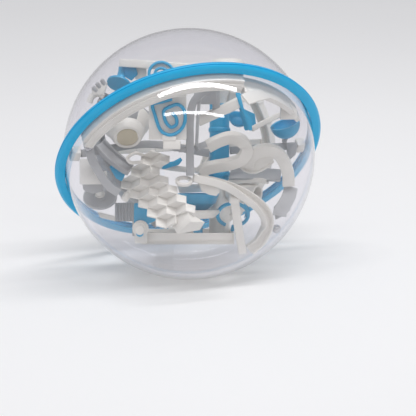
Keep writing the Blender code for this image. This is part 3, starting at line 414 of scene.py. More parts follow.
FINISHES = {
    "clear_shell": clear_plastic("clear_dome_plastic"),
    "ring_blue": moulded_plastic("ring_blue", (0.012, 0.44, 0.77), (0.014, 0.46, 0.80), 0.3, 0.005, 60.0),
    "maze_blue": moulded_plastic("track_blue", (0.026, 0.36, 0.63), (0.032, 0.39, 0.67), 0.36, 0.04),
    "maze_white": moulded_plastic("track_white", (0.79, 0.765, 0.725), (0.825, 0.80, 0.76), 0.4, 0.05),
    "maze_grey": moulded_plastic("track_grey", (0.40, 0.405, 0.42), (0.44, 0.445, 0.46), 0.42, 0.05),
    "cream_window": moulded_plastic("window_cream", (0.54, 0.48, 0.36), (0.60, 0.54, 0.42), 0.35, 0.05),
    "polished_steel": polished_metal("ball_steel"),
}
BODIES = frame["record"]["behaviour"]["bodies"]
BODY_OF_NODE = {node: name for name, nodes in BODIES.items() for node in nodes}


def turned(direction):
    """Turn that brings +Z onto a direction."""
    return Vector(UPWARDS).rotation_difference(Vector(direction)).to_matrix().to_4x4()


def seated(at, axis=None):
    """Place of a lathed or boxed piece within its frame."""
    place = Matrix.Translation(Vector(at))
    return place if axis is None else place @ turned(axis)


def piece(name, bm, finish, place, body="toy", sharp=35.0):
    """Finished object at the origin, with its place in its mesh, riding on a body."""
    bmesh.ops.remove_doubles(bm, verts=bm.verts, dist=1e-4)
    bmesh.ops.recalc_face_normals(bm, faces=bm.faces)
    bm.transform(Matrix.Scale(MM, 4) @ place)
    mesh = bpy.data.meshes.new(name)
    bm.to_mesh(mesh)
    bm.free()
    mesh.shade_smooth()
    mesh.set_sharp_from_angle(angle=math.radians(sharp))
    mesh.materials.append(FINISHES[finish])
    item = bpy.data.objects.new(name, mesh)
    bpy.context.scene.collection.objects.link(item)
    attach(item, body)
    return item


def moulding(node, bm, finish, place, sharp=35.0):
    """Piece that stands for a node of the solid model."""
    item = piece("moulded_" + node, bm, finish, place, BODY_OF_NODE[node], sharp)
    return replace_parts(item, node)


def eased(outline, radius, closed=True, steps=3):
    """Outline with each corner eased into a small curve."""
    corners = [Vector(point) for point in outline]
    count = len(corners)
    reaches = radius if isinstance(radius, (list, tuple)) else [radius] * count
    result = []
    for index, corner in enumerate(corners):
        if not closed and index in (0, count - 1):
            result.append(corner)
            continue
        before = corners[index - 1] - corner
        after = corners[(index + 1) % count] - corner
        reach = min(reaches[index], before.length * 0.45, after.length * 0.45)
        start = corner + before.normalized() * reach
        end = corner + after.normalized() * reach
        for step in range(steps + 1):
            t = step / steps
            result.append(start * (1 - t) ** 2 + corner * 2 * t * (1 - t) + end * t ** 2)
    return result


def gutter(width, height, wall):
    """Track section: a U with a dished floor and rounded rims."""
    half = width / 2
    outline = [(-half, 0), (half, 0), (half, height), (half - wall, height),
               (half - wall, wall), (wall - half, wall), (wall - half, height), (-half, height)]
    foot = wall * 0.35
    rim = wall * 0.42
    return eased(outline, [foot, foot, rim, rim, foot, foot, rim, rim])


def flat_bar(width, thickness, corner=0.7):
    half = width / 2
    rise = thickness / 2
    return eased([(-half, -rise), (half, -rise), (half, rise), (-half, rise)], corner)


def round_wire(radius, sides=14):
    turns = [FULL_TURN * step / sides for step in range(sides)]
    return [(radius * math.cos(turn), radius * math.sin(turn)) for turn in turns]


def spread(start, end, count):
    return [math.radians(start + (end - start) * step / count) for step in range(count + 1)]


def smooth_path(points, steps):
    """Points along a smooth curve through the given ones."""
    knots = [Vector(point) for point in points]
    knots = [2 * knots[0] - knots[1]] + knots + [2 * knots[-1] - knots[-2]]
    path = []
    for a, b, c, d in zip(knots, knots[1:], knots[2:], knots[3:]):
        for step in range(steps):
            t = step / steps
            path.append(0.5 * (2 * b + (c - a) * t + (2 * a - 5 * b + 4 * c - d) * t ** 2
                               + (3 * b - a - 3 * c + d) * t ** 3))
    path.append(knots[-2])
    return path


def arc_path(radius, height, start, end, count):
    return [Vector((radius * math.cos(turn), radius * math.sin(turn), height))
            for turn in spread(start, end, count)]


def swept(path, up, section, ease=0.35):
    """Section drawn along a path, with its two ends eased."""
    bm = bmesh.new()
    first = None
    face = None
    for index, point in enumerate(path):
        along = (path[min(index + 1, len(path) - 1)] - path[max(index - 1, 0)]).normalized()
        rise = up(point) if callable(up) else Vector(up)
        side = along.cross(rise).normalized()
        rise = side.cross(along)
        corners = [point + side * a + rise * b for a, b in section]
        if face is None:
            face = first = bm.faces.new([bm.verts.new(corner) for corner in corners])
            ring = list(face.verts)
            continue
        made = bmesh.ops.extrude_face_region(bm, geom=[face])["geom"]
        new_face = [part for part in made if isinstance(part, bmesh.types.BMFace)][0]
        partners = {}
        for old in ring:
            for edge in old.link_edges:
                if edge.other_vert(old) in new_face.verts:
                    partners[old] = edge.other_vert(old)
        ring = [partners[old] for old in ring]
        for vertex, corner in zip(ring, corners):
            vertex.co = corner
        if index > 1:
            bm.faces.remove(face)
        face = new_face
    ends = list(set(first.edges) | set(face.edges))
    if ease:
        bmesh.ops.bevel(bm, geom=ends, offset=ease, segments=2, profile=0.5, affect="EDGES", material=-1,
                        clamp_overlap=True)
    return bm


def turned_profile(profile, segments, ease=0.5):
    """Outline of (radius, height) points turned about Z."""
    closed = profile[0][0] > 0
    outline = eased(profile, ease, closed) if ease else [Vector(point) for point in profile]
    bm = bmesh.new()
    corners = [bm.verts.new((point.x, 0, point.y)) for point in outline]
    edges = [bm.edges.new(pair) for pair in zip(corners, corners[1:])]
    if closed:
        edges.append(bm.edges.new((corners[-1], corners[0])))
    bmesh.ops.spin(bm, geom=corners + edges, cent=(0, 0, 0), axis=UPWARDS, angle=FULL_TURN, steps=segments,
                   use_merge=True)
    return bm


def plate(outline, depth, corner=0.8, ease=0.5):
    """Outline in X and Z, drawn out along Y, with its face edges eased."""
    bm = bmesh.new()
    face = bm.faces.new([bm.verts.new((point.x, 0, point.y)) for point in eased(outline, corner)])
    made = bmesh.ops.extrude_face_region(bm, geom=[face])["geom"]
    moved = [part for part in made if isinstance(part, bmesh.types.BMVert)]
    bmesh.ops.translate(bm, vec=(0, depth, 0), verts=moved)
    caps = sorted(bm.faces, key=lambda item: -len(item.verts))[:2]
    rims = list({edge for cap in caps for edge in cap.edges})
    bmesh.ops.bevel(bm, geom=rims, offset=ease, segments=2, profile=0.5, affect="EDGES", material=-1,
                    clamp_overlap=True)
    return bm


def soft_box(size, ease=0.8):
    bm = bmesh.new()
    bmesh.ops.create_cube(bm, size=1.0)
    bmesh.ops.scale(bm, vec=size, verts=bm.verts)
    bmesh.ops.bevel(bm, geom=bm.edges, offset=ease, segments=3, profile=0.5, affect="EDGES", material=-1)
    return bm


def merged(parts):
    """One mesh out of several."""
    whole = bmesh.new()
    for part in parts:
        mesh = bpy.data.meshes.new("part")
        part.to_mesh(mesh)
        part.free()
        whole.from_mesh(mesh)
        bpy.data.meshes.remove(mesh)
    return whole


def collars(path, up, section, every):
    """Short bands round a track, at even steps along its path."""
    bands = []
    for index in range(every, len(path) - every // 2, every):
        half = (path[index + 1] - path[index - 1]).normalized() * COLLAR_LENGTH / 2
        bands.append(swept([path[index] - half, path[index] + half], up, section, 0.2))
    return merged(bands)


def collar_section(width, height, wall):
    """A U that sits just outside a track's own."""
    return [(side, rise - COLLAR_PROUD)
            for side, rise in gutter(width + 2 * COLLAR_PROUD, height, wall + COLLAR_PROUD / 2)]


def arc_profile(radius, start, end, count):
    return [(radius * math.cos(turn), radius * math.sin(turn)) for turn in spread(start, end, count)]


def dress_ball_and_ring():
    """Clear domes with flanges, held by the two halves of the blue ring."""
    inner_radius = SHELL_RADIUS - SHELL_WALL
    lip = math.degrees(math.asin(FLANGE_DEPTH / SHELL_RADIUS))
    for node, side in (("rear_dome", 1), ("front_dome", -1)):
        outer = arc_profile(SHELL_RADIUS, 90, lip, SHELL_BANDS)
        inner = arc_profile(inner_radius, 0, 90, SHELL_BANDS)
        outer[0] = (0.0, SHELL_RADIUS)
        inner[0] = (inner_radius, HALF_GAP)
        inner[-1] = (0.0, inner_radius)
        flange = [(FLANGE_RADIUS, FLANGE_DEPTH), (FLANGE_RADIUS, HALF_GAP)]
        profile = [(radius, side * height) for radius, height in outer + flange + inner]
        dome = moulding(node, turned_profile(profile, SHELL_SEGMENTS, 0), "clear_shell", RING_TURN)
        dome.visible_shadow = False
        dome.visible_diffuse = False
    moulding("front_ring", turned_profile(RING_FRONT, RING_SEGMENTS, 0.15), "ring_blue", RING_TURN)
    moulding("rear_ring", turned_profile(RING_REAR, RING_SEGMENTS, 0.15), "ring_blue", RING_TURN)
    for node, angle in FOOT_ANGLES.items():
        turn = Matrix.Rotation(math.radians(angle), 4, "Z") @ Matrix.Translation((FOOT_MIDDLE, 0, 0))
        moulding(node, soft_box(FOOT_SIZE), "maze_white", RING_TURN @ turn)


def dress_rim():
    """Track and shroud that follow the ring on the near side."""
    track = swept(arc_path(*RIM_TRACK, 60), UPWARDS, gutter(*RIM_SECTION))
    moulding("rim_track", track, "maze_white", RING_TURN)
    for name, radius in RIM_BEADS.items():
        bead = swept(arc_path(radius, RIM_BEAD_HEIGHT, 202.0, 285.4, 60), UPWARDS, round_wire(0.55, 8), 0.2)
        piece(name, bead, "maze_white", RING_TURN)
    flange = swept(arc_path(*RIM_FLANGE, 60), UPWARDS, eased(RIM_FLANGE_SECTION, 0.4))
    piece("rim_flange", flange, "maze_white", RING_TURN)
    shroud = swept(arc_path(*SHROUD, 40), UPWARDS, eased(SHROUD_SECTION, 0.7))
    moulding("rim_shroud", shroud, "maze_white", RING_TURN)
    turns = spread(*APRON_ANGLES, 16)
    top, bottom = APRON_HEIGHTS
    edge = [Vector((APRON_RADIUS * math.cos(turn), APRON_RADIUS * math.sin(turn),
                    top + (bottom - top) * step / (len(turns) - 1))) for step, turn in enumerate(turns)]
    piece("shroud_apron", swept(edge, UPWARDS, eased(APRON_SECTION, 0.5)), "maze_white", RING_TURN)


def dress_tray():
    """Open tray: the top of a box is inset and pushed down, and all its edges are eased."""
    bm = bmesh.new()
    bmesh.ops.create_cube(bm, size=1.0)
    bmesh.ops.scale(bm, vec=TRAY_SIZE, verts=bm.verts)
    top = max(bm.faces, key=lambda face: face.calc_center_median().z)
    bmesh.ops.inset_region(bm, faces=[top], thickness=TRAY_WALL)
    made = bmesh.ops.extrude_face_region(bm, geom=[top])["geom"]
    bm.faces.remove(top)
    floor = [part for part in made if isinstance(part, bmesh.types.BMVert)]
    bmesh.ops.translate(bm, vec=(0, 0, -TRAY_DEPTH), verts=floor)
    front = min(bm.faces, key=lambda face: face.calc_center_median().y)
    bmesh.ops.inset_region(bm, faces=[front], thickness=TRAY_WALL, depth=-2.2)
    bmesh.ops.bevel(bm, geom=bm.edges, offset=0.5, segments=2, profile=0.5, affect="EDGES", material=-1,
                    clamp_overlap=True)
    moulding("base_tray", bm, "maze_white", MAZE_TURN @ seated(TRAY_AT))
    for number, x in enumerate(TRAY_RIBS_AT, 1):
        rib = seated((x, TRAY_AT[1], TRAY_AT[2] - 0.6))
        piece("tray_rib_%d" % number, soft_box(TRAY_RIB_SIZE, 0.3), "maze_white", MAZE_TURN @ rib)
    for number, (x, y) in enumerate(TRAY_POSTS_AT, 1):
        piece("tray_post_%d" % number, turned_profile(TRAY_POST_PROFILE, 28, 0.3), "maze_white",
              MAZE_TURN @ seated((x, y, TRAY_POST_TOP)))


def dress_middle():
    """Tower with its cap, the beams out to the feet and the tray."""
    moulding("core_tower", turned_profile(TOWER_PROFILE, 64), "maze_blue", MAZE_TURN @ seated(TOWER_FOOT_AT))
    for name, profile in (("tower_sleeve", SLEEVE_PROFILE), ("tower_skirt", SKIRT_PROFILE)):
        piece(name, turned_profile(profile, 64), "maze_white", MAZE_TURN @ seated(TOWER_FOOT_AT))
    moulding("tower_cap", turned_profile(CAP_PROFILE, 64, 1.2), "maze_white", MAZE_TURN @ seated(CAP_AT))
    for node, (finish, points, up) in BEAMS.items():
        moulding(node, swept(smooth_path(points, 10), up, flat_bar(*BEAM)), finish, MAZE_TURN)
    dress_tray()
    lug = swept(smooth_path(LUG, 10), (0, 0.8, 0.6), flat_bar(9.0, 3.6))
    moulding("tray_lug", lug, "maze_white", MAZE_TURN)


def crate_pit(i, j):
    """Deepest corner of a pocket, counted down the stair and across it."""
    return CRATE_PIT + (CRATE_DOWN - CRATE_LEFT) * i + (CRATE_DOWN - CRATE_RIGHT) * j


def folded_sheet(faces):
    """Flat faces joined where they meet, given a wall, with every rim eased."""
    bm = bmesh.new()
    for corners in faces:
        bm.faces.new([bm.verts.new(corner) for corner in corners])
    bmesh.ops.remove_doubles(bm, verts=bm.verts, dist=0.01)
    bmesh.ops.recalc_face_normals(bm, faces=bm.faces)
    bmesh.ops.solidify(bm, geom=bm.faces, thickness=CRATE_WALL)
    bmesh.ops.bevel(bm, geom=bm.edges, offset=0.3, segments=2, profile=0.5, affect="EDGES", material=-1,
                    clamp_overlap=True)
    return bm


def dress_crate():
    """Stair of corner pockets with fins behind it and a ramp out of its lower end."""
    fin, shelf, side = (CRATE_DOWN, CRATE_LEFT), (CRATE_LEFT, CRATE_RIGHT), (CRATE_RIGHT, CRATE_DOWN)
    faces = []
    for places, walls in ((CRATE_POCKETS, (fin, shelf, side)), (CRATE_SHELVES, (shelf,)), (CRATE_FINS, (fin,))):
        for place in places:
            pit = crate_pit(*place)
            faces += [(pit, pit + a, pit + a + b, pit + b) for a, b in walls]
    moulding("step_crate", folded_sheet(faces), "maze_white", MAZE_TURN)
    outwards = CRATE_DOWN + CRATE_LEFT + CRATE_RIGHT
    beads = []
    for place in CRATE_POCKETS:
        pit = crate_pit(*place)
        corners = []
        for a, b in (fin, shelf, side):
            corners += [pit + a, pit + a + b]
        beads.append(swept(corners + corners[:1], outwards, round_wire(CRATE_BEAD, 8), 0))
    piece("crate_beads", merged(beads), "maze_white", MAZE_TURN)
    ramp = folded_sheet([[RAMP_CORNERS[corner] for corner in face] for face in RAMP_FACES])
    piece("crate_ramp", ramp, "maze_white", MAZE_TURN)
    moulding("crate_loop", swept(smooth_path(CRATE_LOOP, 12), TOWARDS_FRONT, round_wire(1.3)), "maze_white",
             MAZE_TURN)


def dress_left():
    """Clip rail, box, funnel, grey rails and the blocks at the far left."""
    panel = [Vector(point) for point in PANEL]
    moulding("clip_panel", swept(panel, UPWARDS, eased(PANEL_SECTION, 0.6)), "maze_white", MAZE_TURN)
    clip = smooth_path([(x, CLIP_Y, z) for x, z in CLIP], 8)
    moulding("clip_rail", swept(clip, TOWARDS_FRONT, round_wire(1.3), 0.6), "maze_blue", MAZE_TURN)
    moulding("corner_box", soft_box((13.0, 27.0, 7.0), 1.0), "maze_white",
             MAZE_TURN @ seated((-13.0, -53.5, 7.2)))
    funnel = MAZE_TURN @ seated(FUNNEL_AT, FUNNEL_MOUTH)
    moulding("funnel_cup", turned_profile(FUNNEL_PROFILE, 72, 0.8), "maze_white", funnel)
    wing = swept(arc_path(*FUNNEL_WING, 48), UPWARDS, eased(FUNNEL_WING_SECTION, 0.4))
    piece("funnel_wing", wing, "maze_white", funnel)
    moulding("funnel_window", turned_profile(WINDOW_PROFILE, 64, 0.3), "cream_window", funnel)
    rail = swept(smooth_path(CURVED_RAIL, 12), TOWARDS_FRONT, flat_bar(6.5, 3.2))
    moulding("curved_rail", rail, "maze_grey", MAZE_TURN)
    moulding("rail_pin", turned_profile(RAIL_PIN_PROFILE, 32, 0.3), "polished_steel",
             MAZE_TURN @ seated(RAIL_PIN_AT, TOWARDS_FRONT))
    moulding("grey_chute", swept(smooth_path(GREY_CHUTE, 12), GREY_CHUTE_UP, gutter(11.0, 5.0, 1.8)),
             "maze_grey", MAZE_TURN)
    moulding("left_block", plate(LEFT_BLOCK, LEFT_BLOCK_DEPTH, 1.2, 0.8), "maze_white",
             MAZE_TURN @ seated((0, LEFT_BLOCK_FRONT, 0)))


def dress_movers():
    """Spinner disc on its pin, and the paddle on its boss beside the ribbed wall."""
    spinner = MAZE_TURN @ seated(SPINNER_PIVOT, SPINNER_AXIS)
    moulding("spinner_disc", turned_profile(SPINNER_PROFILE, 72, 0.25), "maze_grey", spinner)
    moulding("spinner_pin", turned_profile(SPINNER_PIN_PROFILE, 40, 0.4), "maze_white", spinner)
    x, y, z = FLIPPER_PIVOT
    outline = eased(FLIPPER_OUTLINE, 1.4)
    bm = bmesh.new()
    rim = [bm.verts.new((point.x, 0, point.y)) for point in outline]
    bore = [bm.verts.new((FLIPPER_BORE * math.cos(turn), 0, FLIPPER_BORE * math.sin(turn)))
            for turn in spread(0, 360, 36)[:-1]]
    edges = [bm.edges.new((loop[i - 1], loop[i])) for loop in (rim, bore) for i in range(len(loop))]
    bmesh.ops.triangle_fill(bm, use_beauty=True, edges=edges)
    made = bmesh.ops.extrude_face_region(bm, geom=bm.faces)["geom"]
    moved = [part for part in made if isinstance(part, bmesh.types.BMVert)]
    bmesh.ops.translate(bm, vec=(0, FLIPPER_THICKNESS, 0), verts=moved)
    bmesh.ops.recalc_face_normals(bm, faces=bm.faces)
    rims = [edge for edge in bm.edges if edge.calc_face_angle(0.0) > 1.2]
    bmesh.ops.bevel(bm, geom=rims, offset=0.4, segments=2, profile=0.5, affect="EDGES", material=-1,
                    clamp_overlap=True)
    moulding("flipper", bm, "maze_blue", MAZE_TURN @ seated((x, y - FLIPPER_THICKNESS / 2, z)))
    moulding("flipper_boss", turned_profile(BOSS_PROFILE, 48, 0.4), "maze_white",
             MAZE_TURN @ seated(FLIPPER_PIVOT, TOWARDS_FRONT))
    moulding("boss_upright", soft_box((10.0, 4.0, 17.0)), "maze_white",
             MAZE_TURN @ seated((-38.0, -14.4, -61.5)))
    pitch = (RIB_TO_X - RIB_FROM_X) / (2 * RIB_COUNT)
    ridge = [(RIB_FROM_X + pitch * step, RIB_CREST_Y if step % 2 else RIB_ROOT_Y)
             for step in range(2 * RIB_COUNT + 1)]
    section = eased(ridge + RIB_BACK, 0.5)
    bm = bmesh.new()
    foot = bm.faces.new([bm.verts.new((point.x, point.y, RIB_FOOT_Z)) for point in section])
    made = bmesh.ops.extrude_face_region(bm, geom=[foot])["geom"]
    moved = [part for part in made if isinstance(part, bmesh.types.BMVert)]
    bmesh.ops.translate(bm, vec=(0, 0, RIB_HEIGHT), verts=moved)
    moulding("ribbed_wall", bm, "maze_grey", MAZE_TURN)


def out_of_hook(point):
    """The hook's walls point away from the middle of its bend, and turn to the front on the way down."""
    away = Vector((point.x - HOOK_HEART.x, 0, point.z - HOOK_HEART.z)).normalized()
    twist = max(0.0, (HOOK_TWIST_FROM - point.z) / HOOK_TWIST_OVER)
    return away + twist * Vector(TOWARDS_FRONT)


def dress_right():
    """Bracket, looped tracks, hook with its post, strap, bowl, hoop and pipe."""
    strut = swept(smooth_path(FRONT_STRUT, 10), TOWARDS_FRONT, flat_bar(6.0, 4.0))
    moulding("front_strut", strut, "maze_grey", MAZE_TURN)
    moulding("strut_arm", swept(smooth_path(STRUT_ARM, 8), TOWARDS_FRONT, flat_bar(5.0, 3.4)), "maze_grey",
             MAZE_TURN)
    loop = gutter(*LOOP_SECTION)
    covered = [(side, LOOP_SECTION[1] - height) for side, height in loop]
    moulding("upper_loop_track", swept(smooth_path(UPPER_LOOP, 10), UPPER_LOOP_UP, covered), "maze_white",
             MAZE_TURN)
    moulding("lower_loop_track", swept(smooth_path(LOWER_LOOP, 10), LOWER_LOOP_UP, covered), "maze_white",
             MAZE_TURN)
    dish = MAZE_TURN @ seated(DISH_AT, DISH_LEAN)
    piece("loop_dish", plate(DISH_OUTLINE, DISH_THICKNESS, 2.5), "maze_white", dish)
    piece("dish_rim", swept(smooth_path(DISH_RIM, 8), TOWARDS_FRONT, round_wire(1.1)), "maze_white", dish)
    ridge = swept(smooth_path(DISH_RIDGE, 8), TOWARDS_FRONT, round_wire(0.6, 8))
    piece("dish_ridge", ridge, "maze_white", dish)
    moulding("hook_track", swept(smooth_path(HOOK, 12), out_of_hook, gutter(*HOOK_SECTION)), "maze_white",
             MAZE_TURN)
    moulding("hook_eye", turned_profile(HOOK_EYE_PROFILE, 48, 0.6), "maze_white",
             MAZE_TURN @ seated(HOOK_EYE_AT, HOOK_EYE_TILT))
    moulding("hook_post", swept(smooth_path(HOOK_POST, 10), HOOK_POST_UP, flat_bar(6.4, 4.6)), "maze_white",
             MAZE_TURN)
    moulding("grey_strap", swept(smooth_path(STRAP, 12), TOWARDS_FRONT, flat_bar(11.0, 2.2)), "maze_grey",
             MAZE_TURN)
    moulding("stem_bowl", turned_profile(BOWL_PROFILE, 72, 0.8), "maze_blue", MAZE_TURN @ seated(BOWL_AT))
    piece("bowl_saucer", turned_profile(SAUCER_PROFILE, 64, 0.6), "maze_white", MAZE_TURN @ seated(SAUCER_AT))
    hoop = [Vector(point) for point in HOOP_STEM]
    for turn in spread(*HOOP_ANGLES, 60):
        height = HOOP_RADIUS * math.sin(turn)
        hoop.append(HOOP_CENTRE + Vector((HOOP_RADIUS * math.cos(turn), -height * math.sin(HOOP_LEAN),
                                          height * math.cos(HOOP_LEAN))))
    moulding("wire_hoop", swept(hoop, HOOP_UP, round_wire(1.5), 0.5), "maze_blue", MAZE_TURN)
    moulding("drop_pipe", turned_profile(PIPE_PROFILE, 64, 0.5), "maze_white",
             MAZE_TURN @ seated(PIPE_AT, PIPE_AXIS))


def dress_upper_right():
    """Straight rails, the blade between them, and the cup with its stay."""
    moulding("upper_rail", swept(smooth_path(UPPER_RAIL, 10), UPWARDS, gutter(9.0, 5.0, 1.6)), "maze_white",
             MAZE_TURN)
    moulding("lower_rail", swept(smooth_path(LOWER_RAIL, 10), UPWARDS, gutter(7.4, 4.0, 1.5)), "maze_white",
             MAZE_TURN)
    moulding("rail_hanger", soft_box((6.0, 4.0, 19.6)), "maze_grey", MAZE_TURN @ seated((21.0, -26.0, 41.2)))
    moulding("link_blade", plate(BLADE_OUTLINE, BLADE_THICKNESS), "maze_blue",
             MAZE_TURN @ seated((0, BLADE_FRONT, 0)))
    cup = arc_profile(CUP_RADIUS, -90, 0, 16) + arc_profile(CUP_BORE, 0, -90, 16)
    cup[0] = (0, -CUP_RADIUS)
    cup[-1] = (0, -CUP_BORE)
    moulding("side_cup", turned_profile(cup, 64, 0), "maze_blue", MAZE_TURN @ seated(CUP_AT, CUP_TILT))
    moulding("cup_strut", swept(smooth_path(CUP_STRUT, 8), UPWARDS, round_wire(2.2)), "maze_grey", MAZE_TURN)


def towards_centre(point):
    return -point


def dress_rear():
    """Start plate with the spool and coil, and the tracks behind the tower."""
    moulding("start_plate", swept([Vector(point) for point in PLATE], UPWARDS, eased(PLATE_SECTION, 0.6)),
             "maze_white", MAZE_TURN)
    piece("plate_bands", collars(smooth_path(PLATE, 24), UPWARDS, eased(PLATE_BAND, 0.4), 4), "maze_white",
          MAZE_TURN)
    moulding("start_spool", turned_profile(SPOOL_PROFILE, 64, 0.5), "maze_blue",
             MAZE_TURN @ seated(SPOOL_AT, SPOOL_TILT))
    x, y, z = COIL_CENTRE
    inner, outer = COIL_RADII
    turns = spread(0, COIL_TURN, 88)
    coil = []
    for step, turn in enumerate(turns):
        reach = inner + (outer - inner) * step / (len(turns) - 1)
        coil.append(Vector((x - reach * math.cos(turn), y, z + reach * math.sin(turn))))
    moulding("start_coil", swept(coil, TOWARDS_FRONT, round_wire(1.2), 0.5), "maze_blue", MAZE_TURN)
    moulding("stud_block", plate(STUD_OUTLINE, STUD_DEPTH, 0.5, 0.4), "maze_white",
             MAZE_TURN @ seated((0, STUD_FRONT, 0)))
    for number, at in enumerate(STUDS_AT, 1):
        piece("block_stud_%d" % number, turned_profile(STUD_PROFILE, 24, 0.3), "maze_grey",
              MAZE_TURN @ seated(at, STUD_LEAN))
    chute = (12.0, 6.0, 2.0)
    moulding("rear_chute", swept(smooth_path(REAR_CHUTE, 14), towards_centre, gutter(*chute)), "maze_grey",
             MAZE_TURN)
    tower_x, tower_y, _ = TOWER_FOOT_AT
    turns = spread(*SPIRAL_ANGLES, 48)
    spiral = [Vector((tower_x + SPIRAL_RADIUS * math.cos(turn), tower_y + SPIRAL_RADIUS * math.sin(turn),
                      SPIRAL_TOP - SPIRAL_DROP * step / (len(turns) - 1))) for step, turn in enumerate(turns)]
    moulding("rear_spiral", swept(spiral, UPWARDS, gutter(9.0, 5.0, 1.6)), "maze_white", MAZE_TURN)
    rear = (11.0, 6.0, 2.0)
    arch = swept(smooth_path(REAR_ARCH, 14), towards_centre, gutter(*rear))
    moulding("rear_arch", arch, "maze_white", MAZE_TURN)
    bridge = swept(smooth_path(REAR_BRIDGE, 14), UPWARDS, gutter(*rear))
    moulding("rear_bridge", bridge, "maze_white", MAZE_TURN)
    banded = {
        "chute_bands": ("maze_grey", REAR_CHUTE, towards_centre, chute),
        "arch_bands": ("maze_white", REAR_ARCH, towards_centre, rear),
        "bridge_bands": ("maze_white", REAR_BRIDGE, UPWARDS, rear),
    }
    for name, (finish, points, up, size) in banded.items():
        piece(name, collars(smooth_path(points, 14), up, collar_section(*size), 7), finish, MAZE_TURN)


def dress_ball():
    bm = bmesh.new()
    bmesh.ops.create_uvsphere(bm, u_segments=48, v_segments=32, radius=BALL_RADIUS)
    moulding("steel_ball", bm, "polished_steel", MAZE_TURN @ seated(BALL_PLACE), 180.0)


def dress_trim():
    """Smaller mouldings between the main ones."""
    piece("boss_pin", turned_profile(BOSS_PIN_PROFILE, 32, 0.3), "maze_blue",
          MAZE_TURN @ seated(BOSS_PIN_AT, TOWARDS_FRONT))
    piece("boss_cap", turned_profile(BOSS_CAP_PROFILE, 32, 0.3), "maze_white",
          MAZE_TURN @ seated(BOSS_CAP_AT, TOWARDS_FRONT))
    piece("crate_peg", turned_profile(CRATE_PEG_PROFILE, 32, 0.5), "maze_white",
          MAZE_TURN @ seated(CRATE_PEG_AT, CRATE_PEG_AXIS))
    for name, (finish, outline, front, depth) in FLAT_TRIM.items():
        piece(name, plate(outline, depth, 0.8, 0.4), finish, MAZE_TURN @ seated((0, front, 0)))
    lengths = {
        "inner_ramp": ("maze_white", INNER_RAMP, UPWARDS, gutter(7.0, 4.5, 1.4)),
        "strut_rib": ("maze_grey", STRUT_RIB, TOWARDS_FRONT, flat_bar(2.4, 3.6)),
        "strut_stub": ("maze_grey", STRUT_STUB, TOWARDS_FRONT, flat_bar(3.6, 3.0)),
        "rail_lip": ("maze_white", RAIL_LIP, TOWARDS_FRONT, flat_bar(7.0, 1.8, 0.4)),
        "stud_bend": ("maze_white", STUD_BEND, TOWARDS_FRONT, round_wire(2.5)),
        "grey_ledge": ("maze_grey", GREY_LEDGE, LEDGE_UP, flat_bar(13.0, 2.2)),
        "pipe_trough": ("maze_white", PIPE_TROUGH, UPWARDS, gutter(9.0, 4.0, 1.4)),
        "post_rib": ("maze_white", POST_RIB, HOOK_POST_UP, flat_bar(1.0, 0.9, 0.3)),
    }
    for name, (finish, points, up, section) in lengths.items():
        piece(name, swept(smooth_path(points, 10), up, section), finish, MAZE_TURN)
    piece("spool_panel", soft_box((9.0, 2.0, 12.0), 0.6), "maze_white",
          MAZE_TURN @ seated((-38.6, 6.0, 66.0)))
    piece("tower_scoop", turned_profile(SCOOP_PROFILE, 48, 0.3), "maze_blue",
          MAZE_TURN @ seated((39.5, -0.3, 28.5), (0.2, -0.7, 0.68)))
    piece("rail_knob", turned_profile(RAIL_KNOB_PROFILE, 40, 0.6), "maze_white",
          MAZE_TURN @ seated((45.0, -14.0, 45.2), TOWARDS_FRONT))
    piece("post_knuckle", turned_profile(KNUCKLE_PROFILE, 40, 0.8), "maze_white",
          MAZE_TURN @ seated((34.6, -34.2, -34.6), (1.0, 0.15, -0.1)))


def set_camera():
    """Camera at the photograph's height, aimed so that the ball lands where it does there."""
    data = bpy.data.cameras.new("photo_camera")
    data.lens = 111.09
    data.sensor_width = 36.0
    data.clip_end = 20.0
    camera = bpy.data.objects.new("photo_camera", data)
    camera.location = (0.0, -0.97483, 0.31674)
    level = Euler((math.radians(72.0), 0.0, 0.0)).to_quaternion()
    to_right = Quaternion((0.0, 1.0, 0.0), math.radians(-0.839))
    downwards = Quaternion((1.0, 0.0, 0.0), math.radians(-2.391))
    camera.rotation_mode = "QUATERNION"
    camera.rotation_quaternion = level @ to_right @ downwards
    bpy.context.scene.collection.objects.link(camera)
    bpy.context.scene.camera = camera


def brighten_far_floor(tree, coords, shader):
    """Extra light on the floor behind the ball, seen but not cast on anything."""
    place = tree.nodes.new("ShaderNodeSeparateXYZ")
    tree.links.new(coords.outputs["Object"], place.inputs["Vector"])
    far = tree.nodes.new("ShaderNodeMapRange")
    for socket, value in zip(("From Min", "From Max", "To Min", "To Max"), FLOOR_GLOW):
        far.inputs[socket].default_value = value
    tree.links.new(place.outputs["Y"], far.inputs["Value"])
    rays = tree.nodes.new("ShaderNodeLightPath")
    seen = rays.outputs["Is Camera Ray"]
    for kind in ("Is Glossy Ray", "Is Transmission Ray"):
        either = tree.nodes.new("ShaderNodeMath")
        either.operation = "MAXIMUM"
        tree.links.new(seen, either.inputs[0])
        tree.links.new(rays.outputs[kind], either.inputs[1])
        seen = either.outputs["Value"]
    glow = tree.nodes.new("ShaderNodeMath")
    glow.operation = "MULTIPLY"
    tree.links.new(far.outputs["Result"], glow.inputs[0])
    tree.links.new(seen, glow.inputs[1])
    tree.links.new(glow.outputs["Value"], shader.inputs["Emission Strength"])
    shader.inputs["Emission Color"].default_value = (0.99, 0.99, 1.0, 1.0)


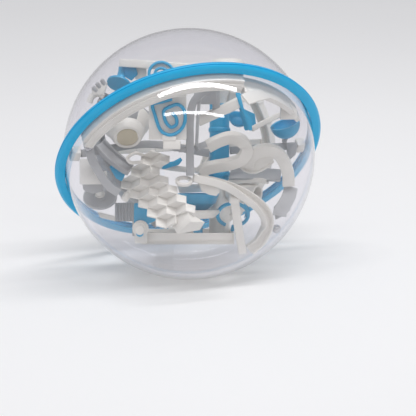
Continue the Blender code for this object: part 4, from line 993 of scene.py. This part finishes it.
def set_floor():
    """Plain pale floor under the ball."""
    bm = bmesh.new()
    bmesh.ops.create_grid(bm, x_segments=1, y_segments=1, size=6.0)
    bmesh.ops.translate(bm, vec=(0.0, 0.0, -SHELL_RADIUS * MM - 0.0002), verts=bm.verts)
    mesh = bpy.data.meshes.new("pale_floor")
    bm.to_mesh(mesh)
    bm.free()
    material, tree, shader = new_finish("floor_paper")
    coords = tree.nodes.new("ShaderNodeTexCoord")
    tooth = speckle(tree, coords, 3.0, 2.0)
    tree.links.new(blend_colours(tree, tooth, (0.87, 0.87, 0.88), (0.88, 0.88, 0.89)),
                   shader.inputs["Base Color"])
    shader.inputs["Roughness"].default_value = 0.9
    brighten_far_floor(tree, coords, shader)
    mesh.materials.append(material)
    floor = bpy.data.objects.new("pale_floor", mesh)
    bpy.context.scene.collection.objects.link(floor)


def add_light_bar(name, direction, distance, size, twist, power):
    """Long soft light bar over the ball, facing it."""
    data = bpy.data.lights.new(name, "AREA")
    data.shape = "RECTANGLE"
    data.size, data.size_y = size
    data.energy = power
    bar = bpy.data.objects.new(name, data)
    bar.location = Vector(direction).normalized() * distance
    bar.rotation_mode = "QUATERNION"
    facing = (-Vector(direction)).to_track_quat("-Z", "Y")
    bar.rotation_quaternion = facing @ Quaternion(UPWARDS, math.radians(twist))
    bpy.context.scene.collection.objects.link(bar)


def set_light():
    """Two light bars overhead, as in a photo tent, and its pale walls all round."""
    add_light_bar("front_light_bar", (0.07, -0.591, 0.802), 1.1, (1.0, 0.05), -5.0, 1.6)
    add_light_bar("top_light_bar", (0.099, -0.186, 0.978), 1.1, (1.25, 0.08), -15.0, 6.4)
    world = bpy.data.worlds.new("tent_walls")
    bpy.context.scene.world = world
    world.use_nodes = True
    backdrop = world.node_tree.nodes["Background"]
    backdrop.inputs["Color"].default_value = (0.98, 0.98, 1.0, 1.0)
    backdrop.inputs["Strength"].default_value = 0.53


def main():
    set_camera()
    set_floor()
    set_light()
    dress_ball_and_ring()
    dress_rim()
    dress_middle()
    dress_crate()
    dress_left()
    dress_movers()
    dress_right()
    dress_upper_right()
    dress_rear()
    dress_ball()
    dress_trim()
    bpy.context.scene.view_settings.view_transform = "Standard"


main()
